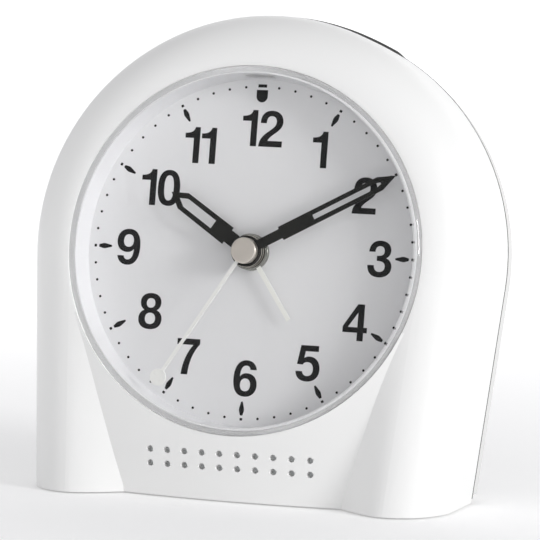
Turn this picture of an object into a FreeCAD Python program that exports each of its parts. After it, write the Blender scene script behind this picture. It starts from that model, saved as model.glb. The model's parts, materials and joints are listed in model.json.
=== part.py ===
import FreeCAD, Part
import math
import os
from FreeCAD import Placement, Rotation, Vector

# Arched quartz alarm clock. Everything is drawn in the dial's own frame and then leaned back:
# x to the right, y up the dial, z out of the dial towards the reader, origin at the dial's centre.
# The legs, the floor and the snooze guides are finished in the standing frame, +Z up.

# Stance
LEAN = 8.0                 # the dial leans back from the vertical, degrees
FOOT_PROUD = 0.4           # rubber feet stand out of the base
DIAL_HEIGHT = 57.96        # dial centre above the base plane
BASE_DEPTH = 17.43         # foremost point of the base in front of the dial centre
REAR_DEPTH = 47.14         # rearmost point of the case behind the dial centre

# Case outline, seen square to the dial
TAPER = 5.0                # each side leans in towards the base, degrees
ARCH_R = 56.5
ARCH_RISE = 1.0            # arch centre above the dial centre
WALL = 2.2
SEAM = -23.0               # rear edge of the front shell
SEAM_GAP = 0.4
COVER_INSET = 0.45         # rear cover is this much smaller all round
BACK = -41.0               # flat back of the rear cover
BACK_R = 45.5              # where the flat back starts to round off
COVER_WALL = 2.0
LIP_T = 1.4                # the cover's lip stands inside the front shell's rim
LIP_GAP = 0.2
LIP_REACH = 1.6
TOE_R = 4.0                # lower side edges of the rear cover

# Front shell: a quarter ellipse rolls the face over into the side
FACE_TOP = 7.5
CREST_R = 43.6
ROLL_Z = -7.0              # level where the roll becomes the straight side
LEG_Y = -62.0              # section that the leg is drawn to, just under the base plane
LEG_CREST_X = 39.04
LEG_CREST_Z = 9.27
LEG_HALF_WIDTH = 51.2
LEG_FLANK_X = 26.8
LEG_FLANK_Z = 1.6
ARCH_FLANK_X = 33.5
FLANK_RUN = 0.36           # control points of the flank's curve, in shares of its width
FLANK_RISE = 0.48          # and of its height
CREST_RUN = 0.29

# Chin panel between the legs: bowed across, and steeper at the base than beside the dial
CHIN_R = 165.0
CHIN_Z = 6.5               # panel surface on the centre line at CHIN_Y
CHIN_Y = -50.0
CHIN_SLOPE = 15.75         # degrees at CHIN_Y
CHIN_BEND_R = 200.0        # radius seen from the side
CHIN_HALF_WIDTH = 42.0
CHIN_END_Y = -17.0         # the panel runs out level with the face
CHIN_SWEEP = 40.0          # more than the width needs, degrees
MIDDLE_HALF = 35.6         # fills the case between arch, legs and chin

# Speaker holes in the chin
HOLE_R = 0.75
HOLE_MOUTH_R = 1.05
HOLE_MOUTH_DEPTH = 0.3
HOLE_PITCH = 4.41
HOLES_IN_ROW = 10
HOLE_ROWS = (-48.07, -51.35)
CLOTH_HALF = 23.0
CLOTH_Y = (-54.0, -45.8)
CLOTH_T = 0.3

# Dial opening, lens, ring and dial
OPENING_R = 43.8
TUBE_R = 45.4
DIAL_R = 43.5
DIAL_T = 1.0
RING_R = 43.4
RING_TOP = 5.9
RING_FOOT_R = 41.3
RING_MOUTH_R = 42.1
LENS_R = 43.6
LENS_FRONT = 8.75
LENS_T = 1.5
LENS_ROUND = 2.2
LENS_WALL = 1.4
LENS_BEVEL = 0.6           # inside, between wall and pane
LED_HALF_WIDTH = 3.5
LED_LOW = 1.2
LED_TOP = 4.4
LED_INNER_R = 41.3
LED_OUTER_R = 42.8

# Dial carrier, its screws and the bosses that they go into
CARRIER_BACK = -2.6
LUG_R = 3.3
BOSS_R = 2.9
CARRIER_POINTS = ((27.0, 42.5), (-27.0, 42.5), (31.5, -38.0), (-31.5, -38.0))
UPPER_BOSS_TOP = 3.3       # bosses end inside the face wall
CARRIER_BOSS_TOP = 5.6
CARRIER_SCREW_R = 1.1
CARRIER_HEAD_R = 2.1
CARRIER_HEAD_T = 1.4
CARRIER_SCREW_TOP = 1.6
POST_R = 3.1
POST_END = -25.0
POST_POINTS = ((41.5, 28.0), (-41.5, 28.0), (43.5, -44.0), (-43.5, -44.0))
LEG_POST_TOP = 6.0
CASE_SCREW_R = 1.5
CASE_HEAD_R = 2.8
CASE_HEAD_T = 1.8
CASE_SCREW_TOP = -13.0
SLOT_HALF = 1.6            # driver slot
SLOT_T = 0.6
SLOT_DEPTH = 0.8
WELL_R = 4.9
WELL_BORE = 3.3
WELL_FLOOR = -27.0
PRESSED = 0.02             # radial clearance of a screw or collar that sits tight
RUNNING = 0.05             # radial clearance of a shaft in its bearing
LOOSE = 0.1                # radial clearance of a screw or a shaft through a wall

# Hands: angle clockwise from twelve, levels, outlines along the hand
HOUR_ANGLE = -56.84
MINUTE_ANGLE = 60.99
SECOND_ANGLE = -148.43
ALARM_ANGLE = 145.05
ALARM_LEVEL = (1.5, 1.9)
HOUR_LEVEL = (2.9, 3.3)
MINUTE_LEVEL = (4.3, 4.7)
SECOND_LEVEL = (5.6, 5.9)
# half-widths of neck, blade at its root and at its shoulder; distances of root, shoulder and tip
HOUR_BLADE = (1.64, 2.35, 2.25), (6.3, 20.4, 24.07)
MINUTE_BLADE = (1.15, 1.69, 1.66), (9.5, 36.2, 40.38)
# half-width of the window; distances of its foot, shoulder and tip
HOUR_WINDOW = 1.15, (10.8, 19.6, 21.6)
MINUTE_WINDOW = 0.62, (18.25, 35.0, 37.2)
SECOND_TAIL = 4.0
SECOND_NECK = 35.0
SECOND_HALF_WIDTHS = (0.45, 0.36)
SECOND_DISC_R = 2.03
SECOND_DISC_AT = Vector(0, 36.55, 0)
ALARM_LENGTH = 18.96
ALARM_HALF_WIDTHS = (0.55, 0.5)
HAND_HUB_R = 3.0
SECOND_HUB_R = 1.6
HUB_DROP = 0.35            # a hub reaches this far behind its blade
CAP_R = 3.1
CAP_TOP = 6.8
CAP_ROUND = 0.3

# Concentric arbors, from the outside in
BUSH_R = 3.2
COLLAR_R = 4.35
COLLAR_TOP = 1.1
COLLAR_BEVEL = 0.35
ALARM_TUBE_R = 2.15
HOUR_TUBE_R = 1.55
MINUTE_TUBE_R = 0.95
SECOND_ARBOR_R = 0.4
FLANGE_R = 1.6

# Movement box
BOX_HALF = 27.0
BOX_WALL = 1.5
PLATE_BACK = -4.2
BOX_BACK = -21.2
BOX_SCREW_AT = 24.0
BOX_BOSS_R = 2.4
BOX_SCREW_R = 0.75
BOX_HEAD_R = 1.5
BOX_HEAD_T = 1.0
PIVOT_R = 0.4
PIVOT_LENGTH = 0.8
ARBOR_R = 0.6
BOARD_POST_R = 1.6
STATOR_POST_R = 1.2
SHAFT_R = 1.25

# Gear levels: the rear face of each wheel or pinion
GEAR_T = 1.0
LEVEL_ALARM = -5.5
LEVEL_HOUR = -6.9
LEVEL_MOTION = -8.5
LEVEL_CENTRE = -10.4
LEVEL_THIRD = -12.4
LEVEL_SECOND = -14.4
LEVEL_FIFTH = -16.4

# Gear train: teeth and modules
ROTOR_PINION, FIFTH_WHEEL, FIFTH_MODULE = 8, 48, 0.36
FIFTH_PINION, SECOND_WHEEL, SECOND_MODULE = 8, 40, 0.52
SECOND_PINION, THIRD_WHEEL, THIRD_MODULE = 8, 60, 0.36
THIRD_PINION, CENTRE_WHEEL, CENTRE_MODULE = 8, 64, 0.34
CENTRE_PINION, MOTION_WHEEL, MOTION_MODULE = 12, 36, 0.375
MOTION_PINION, HOUR_WHEEL, HOUR_MODULE = 10, 40, 0.36
TIME_PINION = 12
ALARM_GEAR, ALARM_MODULE = 36, 15.0 / 36
ADDENDUM = 0.8             # tooth tip above the pitch circle, in modules
DEDENDUM = 1.15
ROOT_SHARE = 0.3125        # half of a tooth's width at its root, in pitches
TIP_SHARE = 0.1

# Arbor places, seen from the front
CENTRE_AT = Vector(0, 0, 0)
THIRD_AT = Vector(0, 12.24, 0)
FIFTH_AT = Vector(0, -12.48, 0)
ROTOR_AT = Vector(-8.7, -17.571, 0)
MOTION_AT = Vector(7.5, -4.975, 0)
TIME_AT = Vector(15, 0, 0)
ALARM_AT = Vector(-15, 0, 0)
PIVOT_POINTS = [(place.x, place.y) for place in (THIRD_AT, FIFTH_AT, ROTOR_AT)]
SHAFT_POINTS = [(place.x, place.y) for place in (TIME_AT, ALARM_AT)]

# Motor
MAGNET_R = 3.0
MAGNET_LOW = -19.0
MAGNET_TOP = -17.2
STATOR_LOW = -18.5
STATOR_TOP = -17.7
STATOR_LOWER = ((-22.5, -21.7), (-21.2, -23.0), (-4.2, -22.5), (-4.2, -13.1), (-13.2, -13.1), (-19.4, -20.5),
                (-22.5, -20.5))
STATOR_UPPER = ((-22.5, -1.0), (-19.5, -1.0), (-8.7, -12.6), (-13.2, -13.6), (-22.5, -3.7))
STATOR_GAP = 0.4           # between magnet and bore
STATOR_POST_OUT = 2.0      # its posts stand beyond the coil's ends
COIL_AT = Vector(-21.0, -12.0, -14.6)
COIL_R = 3.0
COIL_HALF = 7.5
CHEEK_HALF = 3.1
CHEEK_T = 1.0

# Circuit board
BOARD_X = (1.5, 21.4)
BOARD_Y = (8.0, 21.4)
BOARD_LOW = -18.0
BOARD_TOP = -17.0
BOARD_SCREWS = ((5.0, 18.8), (19.0, 10.4))
BOARD_GRIP = 2.0           # length of screw in the post
CHIP_X = (12.5, 17.5)
CHIP_Y = (14.0, 19.0)
CHIP_T = 1.2
CRYSTAL_R = 1.0
CRYSTAL_X = (5.0, 11.0)
CRYSTAL_Y = 13.0

# Speaker
SPEAKER_AT = Vector(0, -42.3, 0)
SPEAKER_R = 12.4
SPEAKER_FLANGE_T = 1.0
SPEAKER_MOUTH_R = 10.4
SPEAKER_LEDGE = 1.0
MAGNET_POT_R = 7.0
MAGNET_POT_BACK = -12.0
BASKET_BACK = -8.0
BASKET_T = 0.8
CONE_T = 0.4
CONE_LOW = -6.6
CONE_CAP_R = 2.5
CONE_RIM = 1.1

# Knobs, switch and battery
KNOB_R = 5.5
KNOB_FRONT = -41.6
KNOB_BACK = -46.4
KNOB_FLUTES = 12
FLUTE_R = 0.7
SWITCH_Y = 24.0
SWITCH_TRAVEL = 4.0
SWITCH_STEM = 5.0
STEM_Y = (SWITCH_Y - 1.5, SWITCH_Y + 1.5)
STEM_GAP = 0.2
STEM_PROUD = 1.6
SLIDER_HALF = 4.6
SLIDER_Y = (SWITCH_Y - 2.6, SWITCH_Y + 2.6)
SLIDER_Z = (BACK + COVER_WALL + 0.1, BACK + COVER_WALL + 0.8)
SWITCH_BODY_HALF = 8.0
SWITCH_BODY_Y = (SWITCH_Y - 4.0, SWITCH_Y + 4.0)
SWITCH_BODY_Z = (BACK + COVER_WALL + 0.9, BACK + COVER_WALL + 5.4)
SWITCH_FOOT = 1.2
CELL_R = 7.1
CELL_LENGTH = 50.5
CELL_NUB_R = 2.7
CELL_NUB = 1.5
CELL_Y = -35.0
CELL_Z = -31.0
BAY_HALF = 28.0
BAY_LOW = -46.4
BAY_HIGH = -27.0
BAY_FRONT = -23.4
BAY_WALL = 1.4
CRADLE_X = 8.0             # two ribs hold the cell from below
CRADLE_T = 2.0
CRADLE_BACK = -38.0
DOOR_HALF = 26.5
DOOR_LOW = -43.5
DOOR_HIGH = -27.8
DOOR_T = 1.8
DOOR_GAP = 0.3
HINGE_Y = DOOR_LOW + DOOR_T / 2
HINGE_Z = BACK + DOOR_T / 2
PIN_R = 0.5
PIN_LENGTH = 1.0
GRIP_RIBS = 3
GRIP_PITCH = 1.6
GRIP_T = 0.8
GRIP_EDGE = 1.8            # from the door's free edge to the first rib
GRIP_HALF = 6.0
GRIP_PROUD = 0.5
CONTACT_T = 0.4
CONTACT_HALF = 5.0
CONTACT_COIL_R = 3.2
CONTACT_TURNS = 3
SPRING_WIRE_R = 0.3

# Snooze bar and its springs
BAR_ARC_R = 36.3           # plan radius of the bar's front edge
BAR_FRONT = -9.5           # front edge on the centre line
BAR_GAP = 0.3
BAR_FLANGE = 1.5
BAR_FLANGE_T = 1.2
BAR_TRAVEL = 1.2
BAR_REAR = -19.8           # rear end of the flange
BAR_WEB = 0.7              # half of the web that ties top and flange
BAR_UNDERSIDE = 51.9       # height at the guide legs, inside the bar
SHELF_LOW = 41.5           # heights above the dial centre, standing frame
SHELF_TOP = 42.7
SHELF_HALF = 13.0
SHELF_REAR = 27.0
SHELF_FRONT = 7.55         # where the shelf meets the carrier's back
GUIDE_X = 9.0
GUIDE_Y = 18.0
GUIDE_R = 1.5
GUIDE_END = 39.8
SPRING_R = 2.3
SPRING_TURNS = 4
SPRING_LENGTH = 7.8
SWITCH_HALF = 3.0
SWITCH_TOP = 46.2
BUTTON_R = 1.7
BUTTON_TOP = 47.0
PLUNGER_HALF = 2.0

# Feet
FOOT_R = 3.5
FOOT_RECESS = 0.8
FOOT_FRONT = (38.0, -3.0)
FOOT_REAR = (35.0, 25.0)

FAR = 90.0                 # longer than any piece, for cutting tools
COVER_FRONT = SEAM - SEAM_GAP
DIAL_Z = DIAL_HEIGHT + FOOT_PROUD
DIAL_Y = (BASE_DEPTH - REAR_DEPTH) / 2
FACE = Placement(Vector(0, DIAL_Y, DIAL_Z), Rotation(Vector(1, 0, 0), 90 - LEAN))
UP = Vector(0, 0, 1)
LEG_WAY = Vector(-math.sin(math.radians(TAPER)), -math.cos(math.radians(TAPER)), 0)


# ---------------------------------------------------------------- simple solids

def disc(radius, low, high, at=CENTRE_AT):
    return Part.makeCylinder(radius, high - low, Vector(at.x, at.y, low))


def tube(outer, inner, low, high, at=CENTRE_AT):
    return disc(outer, low, high, at).cut(disc(inner, low, high, at))


def block(xs, ys, zs):
    size = [pair[1] - pair[0] for pair in (xs, ys, zs)]
    return Part.makeBox(size[0], size[1], size[2], Vector(xs[0], ys[0], zs[0]))


def widened(pair, margin):
    return (pair[0] - margin, pair[1] + margin)


def along_x(radius, left, right, y, z):
    return Part.makeCylinder(radius, right - left, Vector(left, y, z), Vector(1, 0, 0))


def plate(points, low, high):
    corners = [Vector(x, y, low) for x, y in points]
    face = Part.Face(Part.makePolygon(corners + corners[:1]))
    return face.extrude(Vector(0, 0, high - low))


def turned(points):
    corners = [Vector(r, 0, z) for r, z in points]
    face = Part.Face(Part.makePolygon(corners + corners[:1]))
    return face.revolve(Vector(), UP, 360)


def fused(shapes):
    return shapes[0].multiFuse(shapes[1:]).removeSplitter()


def drilled(shape, radius, low, high, points):
    tools = [disc(radius, low, high, Vector(x, y, 0)) for x, y in points]
    return shape.cut(Part.makeCompound(tools))


def at_points(radius, low, high, points):
    return [disc(radius, low, high, Vector(x, y, 0)) for x, y in points]


def both_sides(shape):
    return [shape, shape.mirror(Vector(), Vector(1, 0, 0))]


def stood(shape):
    """A copy of a dial-frame shape, leaned back and lifted to its place over the floor."""
    placed = shape.copy()
    placed.Placement = FACE.multiply(placed.Placement)
    return placed


def above(height):
    return block((-FAR, FAR), (-FAR, FAR), (height, 2 * FAR))


# ---------------------------------------------------------------- case forms

def quarter_ellipse(centre_r, centre_z, across, along):
    """From the end of the long axis, along z, round to the end of the short one, across r."""
    long_end = Vector(centre_r, 0, centre_z + along)
    short_end = Vector(centre_r + across, 0, centre_z)
    curve = Part.Ellipse(long_end, short_end, Vector(centre_r, 0, centre_z))
    return Part.ArcOfEllipse(curve, 0, math.pi / 2).toShape()


def lines(points):
    corners = [Vector(r, 0, z) for r, z in points]
    return [Part.makeLine(start, end) for start, end in zip(corners, corners[1:])]


def roll_section(crest, side, top, floor, inner, tops):
    """A leg or arch section: roll over the outer edge, straight side, and the inner flank."""
    roll = quarter_ellipse(crest, ROLL_Z, side - crest, top - ROLL_Z)
    walls = lines([(side, ROLL_Z), (side, floor), (inner, floor), (inner, tops[0][1])])
    flank = Part.BezierCurve()
    flank.setPoles([Vector(r, 0, z) for r, z in tops] + [Vector(crest, 0, top)])
    return Part.Wire([roll] + walls + [flank.toShape()])


def arch_wire(inset, floor):
    top = FACE_TOP - inset
    step = (CREST_R - ARCH_FLANK_X) / 3
    tops = [(ARCH_FLANK_X + step * i, top) for i in range(3)]
    wire = roll_section(CREST_R, ARCH_R - inset, top, floor, ARCH_FLANK_X, tops)
    wire.rotate(Vector(), UP, -TAPER)
    wire.translate(Vector(0, ARCH_RISE, 0))
    return wire


def leg_wire(inset, floor):
    top = LEG_CREST_Z - inset
    foot_x = LEG_FLANK_X + inset
    low = LEG_FLANK_Z - inset
    span = LEG_CREST_X - foot_x
    tops = [(foot_x, low),
            (foot_x + FLANK_RUN * span, low + FLANK_RISE * (top - low)),
            (LEG_CREST_X - CREST_RUN * span, top)]
    wire = roll_section(LEG_CREST_X, LEG_HALF_WIDTH - inset, top, floor, foot_x, tops)
    wire.translate(Vector(0, LEG_Y, 0))
    return wire


def leg(inset, floor):
    return Part.makeLoft([arch_wire(inset, floor), leg_wire(inset, floor)], True, True)


def swept_arch(edges):
    """An arch of 180 degrees and the taper at both ends, from a section standing on the axis."""
    face = Part.Face(Part.Wire(edges))
    face.rotate(Vector(), UP, -TAPER)
    face.translate(Vector(0, ARCH_RISE, 0))
    return face.revolve(Vector(0, ARCH_RISE, 0), UP, 180 + 2 * TAPER)


def front_arch(inset, floor):
    side = ARCH_R - inset
    top = FACE_TOP - inset
    roll = quarter_ellipse(CREST_R, ROLL_Z, side - CREST_R, top - ROLL_Z)
    rest = lines([(side, ROLL_Z), (side, floor), (0, floor), (0, top), (CREST_R, top)])
    return swept_arch([roll] + rest)


def chin_level(x, y):
    slope = math.radians(CHIN_SLOPE)
    past_crown = y - CHIN_Y - CHIN_BEND_R * math.sin(slope)
    crown = CHIN_Z - CHIN_BEND_R * math.cos(slope)
    return crown + math.sqrt(CHIN_BEND_R ** 2 - past_crown ** 2) - x * x / (2 * CHIN_R)


def chin(inset, floor):
    """Swings the panel's side profile about a far axis behind it, and trims it square."""
    stations = (LEG_Y, (LEG_Y + CHIN_END_Y) / 2, CHIN_END_Y)
    crown = [Vector(0, y, chin_level(0, y) - inset) for y in stations]
    feet = [Vector(0, y, -FAR) for y in (CHIN_END_Y, LEG_Y)]
    corners = [crown[2]] + feet + [crown[0]]
    sides = [Part.makeLine(start, end) for start, end in zip(corners, corners[1:])]
    profile = Part.Face(Part.Wire([Part.Arc(*crown).toShape()] + sides))
    axis = Vector(0, 0, CHIN_Z - CHIN_R)
    profile.rotate(axis, Vector(0, 1, 0), -CHIN_SWEEP / 2)
    solid = profile.revolve(axis, Vector(0, 1, 0), CHIN_SWEEP)
    width = (-CHIN_HALF_WIDTH, CHIN_HALF_WIDTH)
    return solid.common(block(width, (LEG_Y, CHIN_END_Y), (floor, FAR)))


def front_form(inset, floor):
    legs = both_sides(leg(inset, floor))
    middle = block((-MIDDLE_HALF, MIDDLE_HALF), (CHIN_END_Y - 1, ARCH_RISE), (floor, -DIAL_T))
    return front_arch(inset, floor).multiFuse(legs + [chin(inset, floor), middle])


def outline_slab(inset, low, high):
    """The case's outline, arch and tapered sides, as a slab between two levels."""
    radius = ARCH_R - inset
    run = 2 * DIAL_HEIGHT
    angle = math.radians(TAPER)
    hip = Vector(radius * math.cos(angle), ARCH_RISE - radius * math.sin(angle), low)
    toe = hip + LEG_WAY * run
    left_hip = Vector(-hip.x, hip.y, low)
    left_toe = Vector(-toe.x, toe.y, low)
    bow = Part.Arc(hip, Vector(0, ARCH_RISE + radius, low), left_hip).toShape()
    rest = [Part.makeLine(left_hip, left_toe), Part.makeLine(left_toe, toe), Part.makeLine(toe, hip)]
    return Part.Face(Part.Wire([bow] + rest)).extrude(Vector(0, 0, high - low))


def cover_form(inset):
    """Rear cover, with a short straight lip in front: arch and sides rolled over into a flat back."""
    side = ARCH_R - COVER_INSET - inset
    back = BACK + inset
    front = COVER_FRONT + 1
    roll = quarter_ellipse(BACK_R, COVER_FRONT, side - BACK_R, back - COVER_FRONT)
    rim = [(side, COVER_FRONT), (side, front)]
    arch = swept_arch([roll] + lines(rim + [(0, front), (0, back), (BACK_R, back)]))
    inner = BACK_R / 2
    rest = lines(rim + [(inner, front), (inner, back), (BACK_R, back)])
    section = Part.Face(Part.Wire([roll] + rest))
    section.rotate(Vector(), UP, -TAPER)
    section.translate(Vector(0, ARCH_RISE, 0))
    legs = both_sides(section.extrude(LEG_WAY * 2 * DIAL_HEIGHT))
    middle = block((-inner - 5, inner + 5), (-2 * DIAL_HEIGHT, ARCH_RISE), (back, front))
    return arch.multiFuse(legs + [middle])


def crescent(margin, rear):
    """Plan shape of the snooze bar: a shallow arc in front, a straight edge at the rear."""
    axis = Vector(0, ARCH_R / 2, BAR_FRONT - BAR_ARC_R)
    round_part = Part.makeCylinder(BAR_ARC_R + margin, FAR, axis, Vector(0, 1, 0))
    return round_part.common(block((-FAR, FAR), (ARCH_R / 2, FAR), (rear, FAR)))


# ---------------------------------------------------------------- case pieces

def front_case():
    outer = front_form(0, SEAM)
    hollow = stood(front_form(WALL, SEAM - 1).cut(disc(TUBE_R, -DIAL_T, FAR)))
    hollow = hollow.common(above(FOOT_PROUD + WALL))
    shell = stood(outer).common(above(FOOT_PROUD)).cut(hollow)
    bosses = at_points(BOSS_R, -DIAL_T, UPPER_BOSS_TOP, CARRIER_POINTS[:2])
    bosses += at_points(BOSS_R, -DIAL_T, CARRIER_BOSS_TOP, CARRIER_POINTS[2:])
    bosses += at_points(POST_R, POST_END, UPPER_BOSS_TOP, POST_POINTS[:2])
    bosses += at_points(POST_R, POST_END, LEG_POST_TOP, POST_POINTS[2:])
    shell = shell.multiFuse([stood(boss) for boss in bosses])
    shell = shell.cut(stood(disc(OPENING_R, -DIAL_T, FAR)))
    screws = at_points(CARRIER_SCREW_R, -DIAL_T, CARRIER_SCREW_TOP, CARRIER_POINTS)
    screws += at_points(CASE_SCREW_R, POST_END, CASE_SCREW_TOP, POST_POINTS)
    shell = shell.cut(stood(Part.makeCompound(screws)))
    shell = shell.cut(stood(crescent(BAR_GAP, SEAM - 1)))
    return shell.cut(stood(speaker_holes())).cut(feet_recesses())


def speaker_holes():
    tools = []
    for y in HOLE_ROWS:
        for i in range(HOLES_IN_ROW):
            x = (i - (HOLES_IN_ROW - 1) / 2) * HOLE_PITCH
            level = chin_level(x, y)
            mouth = Vector(x, y, level - HOLE_MOUTH_DEPTH)
            tools.append(disc(HOLE_R, level - 2 * WALL, level + 1, mouth))
            tools.append(Part.makeCone(HOLE_R, HOLE_MOUTH_R, HOLE_MOUTH_DEPTH, mouth))
    return Part.makeCompound(tools)


def grille_cloth():
    """Thin cloth stuck to the inside of the chin, behind the holes."""
    strip = block((-CLOTH_HALF, CLOTH_HALF), CLOTH_Y, (-FAR, FAR))
    return chin(WALL, 0).cut(chin(WALL + CLOTH_T, -1)).common(strip)


def rear_cover():
    square = (-FAR, FAR)
    hollow = stood(cover_form(COVER_WALL)).common(above(FOOT_PROUD + COVER_WALL))
    outer = stood(cover_form(0).common(block(square, square, (2 * BACK, COVER_FRONT))))
    shell = rounded_toes(outer.common(above(FOOT_PROUD)).removeSplitter()).cut(hollow)
    pieces = [tongue()] + [stood(piece) for piece in wells() + bay_walls()]
    shell = shell.multiFuse(pieces)
    shell = shell.cut(stood(Part.makeCompound(cover_cuts())))
    return shell.cut(feet_recesses())


def rounded_toes(shape):
    """Rounds the two edges where the cover's sides run down into its base."""
    toes = []
    for edge in shape.Edges:
        box = edge.BoundBox
        if box.ZMax < FOOT_PROUD + 0.01 and box.YLength > 1 and abs(box.Center.x) > BACK_R - 5:
            toes.append(edge)
    return shape.makeFillet(TOE_R, toes)


def tongue():
    """Lip inside the front shell's rim, left out under the snooze bar."""
    inset = WALL + LIP_GAP
    lip = outline_slab(inset, SEAM - LIP_REACH, SEAM + LIP_REACH)
    lip = lip.cut(outline_slab(inset + LIP_T, SEAM - 2 * LIP_REACH, SEAM + 2 * LIP_REACH))
    lip = lip.cut(crescent(BAR_FLANGE + 1, COVER_FRONT))
    return stood(lip).common(above(FOOT_PROUD + WALL + LIP_GAP))


def wells():
    """Screw wells, cut off inside the cover's outer wall."""
    buried = cover_form(COVER_WALL / 2)
    return [well.common(buried) for well in at_points(WELL_R, BACK, POST_END, POST_POINTS)]


def bay_walls():
    outer = block(widened((-BAY_HALF, BAY_HALF), BAY_WALL), widened((BAY_LOW, BAY_HIGH), BAY_WALL),
                  (BACK + COVER_WALL / 2, BAY_FRONT + BAY_WALL))
    inner = block((-BAY_HALF, BAY_HALF), (BAY_LOW, BAY_HIGH), (BACK, BAY_FRONT))
    cell = along_x(CELL_R + RUNNING, -BAY_HALF, BAY_HALF, CELL_Y, CELL_Z)
    ribs = []
    for x in (-CRADLE_X, CRADLE_X):
        width = (x - CRADLE_T / 2, x + CRADLE_T / 2)
        ribs.append(block(width, (BAY_LOW, CELL_Y - CRADLE_T), (CRADLE_BACK, BAY_FRONT)).cut(cell))
    return [outer.cut(inner)] + ribs


def cover_cuts():
    bores = at_points(WELL_BORE, 2 * BACK, WELL_FLOOR, POST_POINTS)
    screws = at_points(CASE_SCREW_R + LOOSE, WELL_FLOOR, POST_END, POST_POINTS)
    shafts = at_points(SHAFT_R + LOOSE, 2 * BACK, BACK / 2, ((TIME_AT.x, 0), (ALARM_AT.x, 0)))
    through = (2 * BACK, BACK + COVER_WALL + LOOSE)
    door_x = widened((-DOOR_HALF, DOOR_HALF), DOOR_GAP)
    door = block(door_x, widened((DOOR_LOW, DOOR_HIGH), DOOR_GAP), through)
    reach = (SWITCH_STEM + SWITCH_TRAVEL) / 2 + STEM_GAP
    slot = block((-reach, reach), widened(STEM_Y, STEM_GAP), through)
    pin_end = DOOR_HALF + PIN_LENGTH + 2 * LOOSE
    pins = along_x(PIN_R + RUNNING, -pin_end, pin_end, HINGE_Y, HINGE_Z)
    return bores + screws + shafts + [door, slot, pins]


def lens():
    inner = LENS_R - LENS_WALL
    under = LENS_FRONT - LENS_T
    round_z = LENS_FRONT - LENS_ROUND
    corner = quarter_circle(LENS_R - LENS_ROUND, round_z, LENS_ROUND)
    wall = [(LENS_R, round_z), (LENS_R, RING_TOP), (inner, RING_TOP), (inner, under - LENS_BEVEL)]
    pane = [(inner - LENS_BEVEL, under), (0, under), (0, LENS_FRONT), (LENS_R - LENS_ROUND, LENS_FRONT)]
    return Part.Face(Part.Wire([corner] + lines(wall + pane))).revolve(Vector(), UP, 360)


def quarter_circle(centre_r, centre_z, radius):
    shares = ((0, 1), (math.sqrt(0.5), math.sqrt(0.5)), (1, 0))
    points = [Vector(centre_r + radius * across, 0, centre_z + radius * along) for across, along in shares]
    return Part.Arc(*points).toShape()


def led_pocket():
    return block((-LED_HALF_WIDTH, LED_HALF_WIDTH), (LED_INNER_R - 1, LED_OUTER_R), (LED_LOW, LED_TOP))


def reflector_ring():
    ring = turned([(RING_FOOT_R, 0), (RING_R, 0), (RING_R, RING_TOP), (RING_MOUTH_R, RING_TOP)])
    return ring.cut(led_pocket())


def light_led():
    return led_pocket().cut(disc(LED_INNER_R + 0.3, -1, FAR))


def dial():
    return tube(DIAL_R, BUSH_R + LOOSE, -DIAL_T, 0)


def dial_collar():
    bore = BUSH_R + PRESSED
    bevel = [(COLLAR_R, COLLAR_TOP - COLLAR_BEVEL), (COLLAR_R - COLLAR_BEVEL, COLLAR_TOP)]
    return turned([(bore, 0), (COLLAR_R, 0)] + bevel + [(bore, COLLAR_TOP)])


def dial_carrier():
    lugs = at_points(LUG_R, CARRIER_BACK, -DIAL_T, CARRIER_POINTS)
    for x, y in CARRIER_POINTS:
        arm = block((0, math.hypot(x, y)), (-LUG_R, LUG_R), (CARRIER_BACK, -DIAL_T))
        lugs.append(arm.rotated(Vector(), UP, math.degrees(math.atan2(y, x))))
    pad = disc(SPEAKER_R + 1.2, CARRIER_BACK, -DIAL_T, SPEAKER_AT)
    body = fused([disc(TUBE_R, CARRIER_BACK, -DIAL_T), pad] + lugs)
    body = body.cut(disc(BUSH_R + LOOSE, CARRIER_BACK, 0))
    body = body.cut(disc(SPEAKER_MOUTH_R, CARRIER_BACK, 0, SPEAKER_AT))
    body = drilled(body, CARRIER_SCREW_R + LOOSE, CARRIER_BACK, 0, CARRIER_POINTS)
    return stood(body).fuse(snooze_shelf()).removeSplitter()


def screw_set(points, head_r, head, shank_r, shank):
    """Like screws, each a round head and a plain shank between two levels."""
    screws = []
    for x, y in points:
        at = Vector(x, y, 0)
        screws.append(disc(head_r, *head, at=at).fuse(disc(shank_r, *shank, at=at)).removeSplitter())
    return Part.makeCompound(screws)


def carrier_screws():
    head = (CARRIER_BACK - CARRIER_HEAD_T, CARRIER_BACK)
    shank = (CARRIER_BACK, CARRIER_SCREW_TOP - LOOSE)
    return screw_set(CARRIER_POINTS, CARRIER_HEAD_R, head, CARRIER_SCREW_R - PRESSED, shank)


def case_screws():
    head = (WELL_FLOOR - CASE_HEAD_T, WELL_FLOOR)
    shank = (WELL_FLOOR, CASE_SCREW_TOP - LOOSE)
    screws = screw_set(POST_POINTS, CASE_HEAD_R, head, CASE_SCREW_R - PRESSED, shank)
    slots = [block(widened((x, x), SLOT_HALF), widened((y, y), SLOT_T / 2), (head[0], head[0] + SLOT_DEPTH))
             for x, y in POST_POINTS]
    return screws.cut(Part.makeCompound(slots))


def foot_places():
    return [(sign * x, y) for x, y in (FOOT_FRONT, FOOT_REAR) for sign in (-1, 1)]


def foot(x, y):
    return Part.makeCylinder(FOOT_R, FOOT_PROUD + FOOT_RECESS, Vector(x, DIAL_Y + y, 0))


def feet_recesses():
    return Part.makeCompound([foot(x, y) for x, y in foot_places()])


# ---------------------------------------------------------------- hands

def pointed(shape, angle):
    return shape.rotated(Vector(), UP, -angle)


def mirrored(half):
    """A closed outline from its left half, listed from the bottom up."""
    return half + [(-x, y) for x, y in reversed(half) if x < 0]


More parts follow.
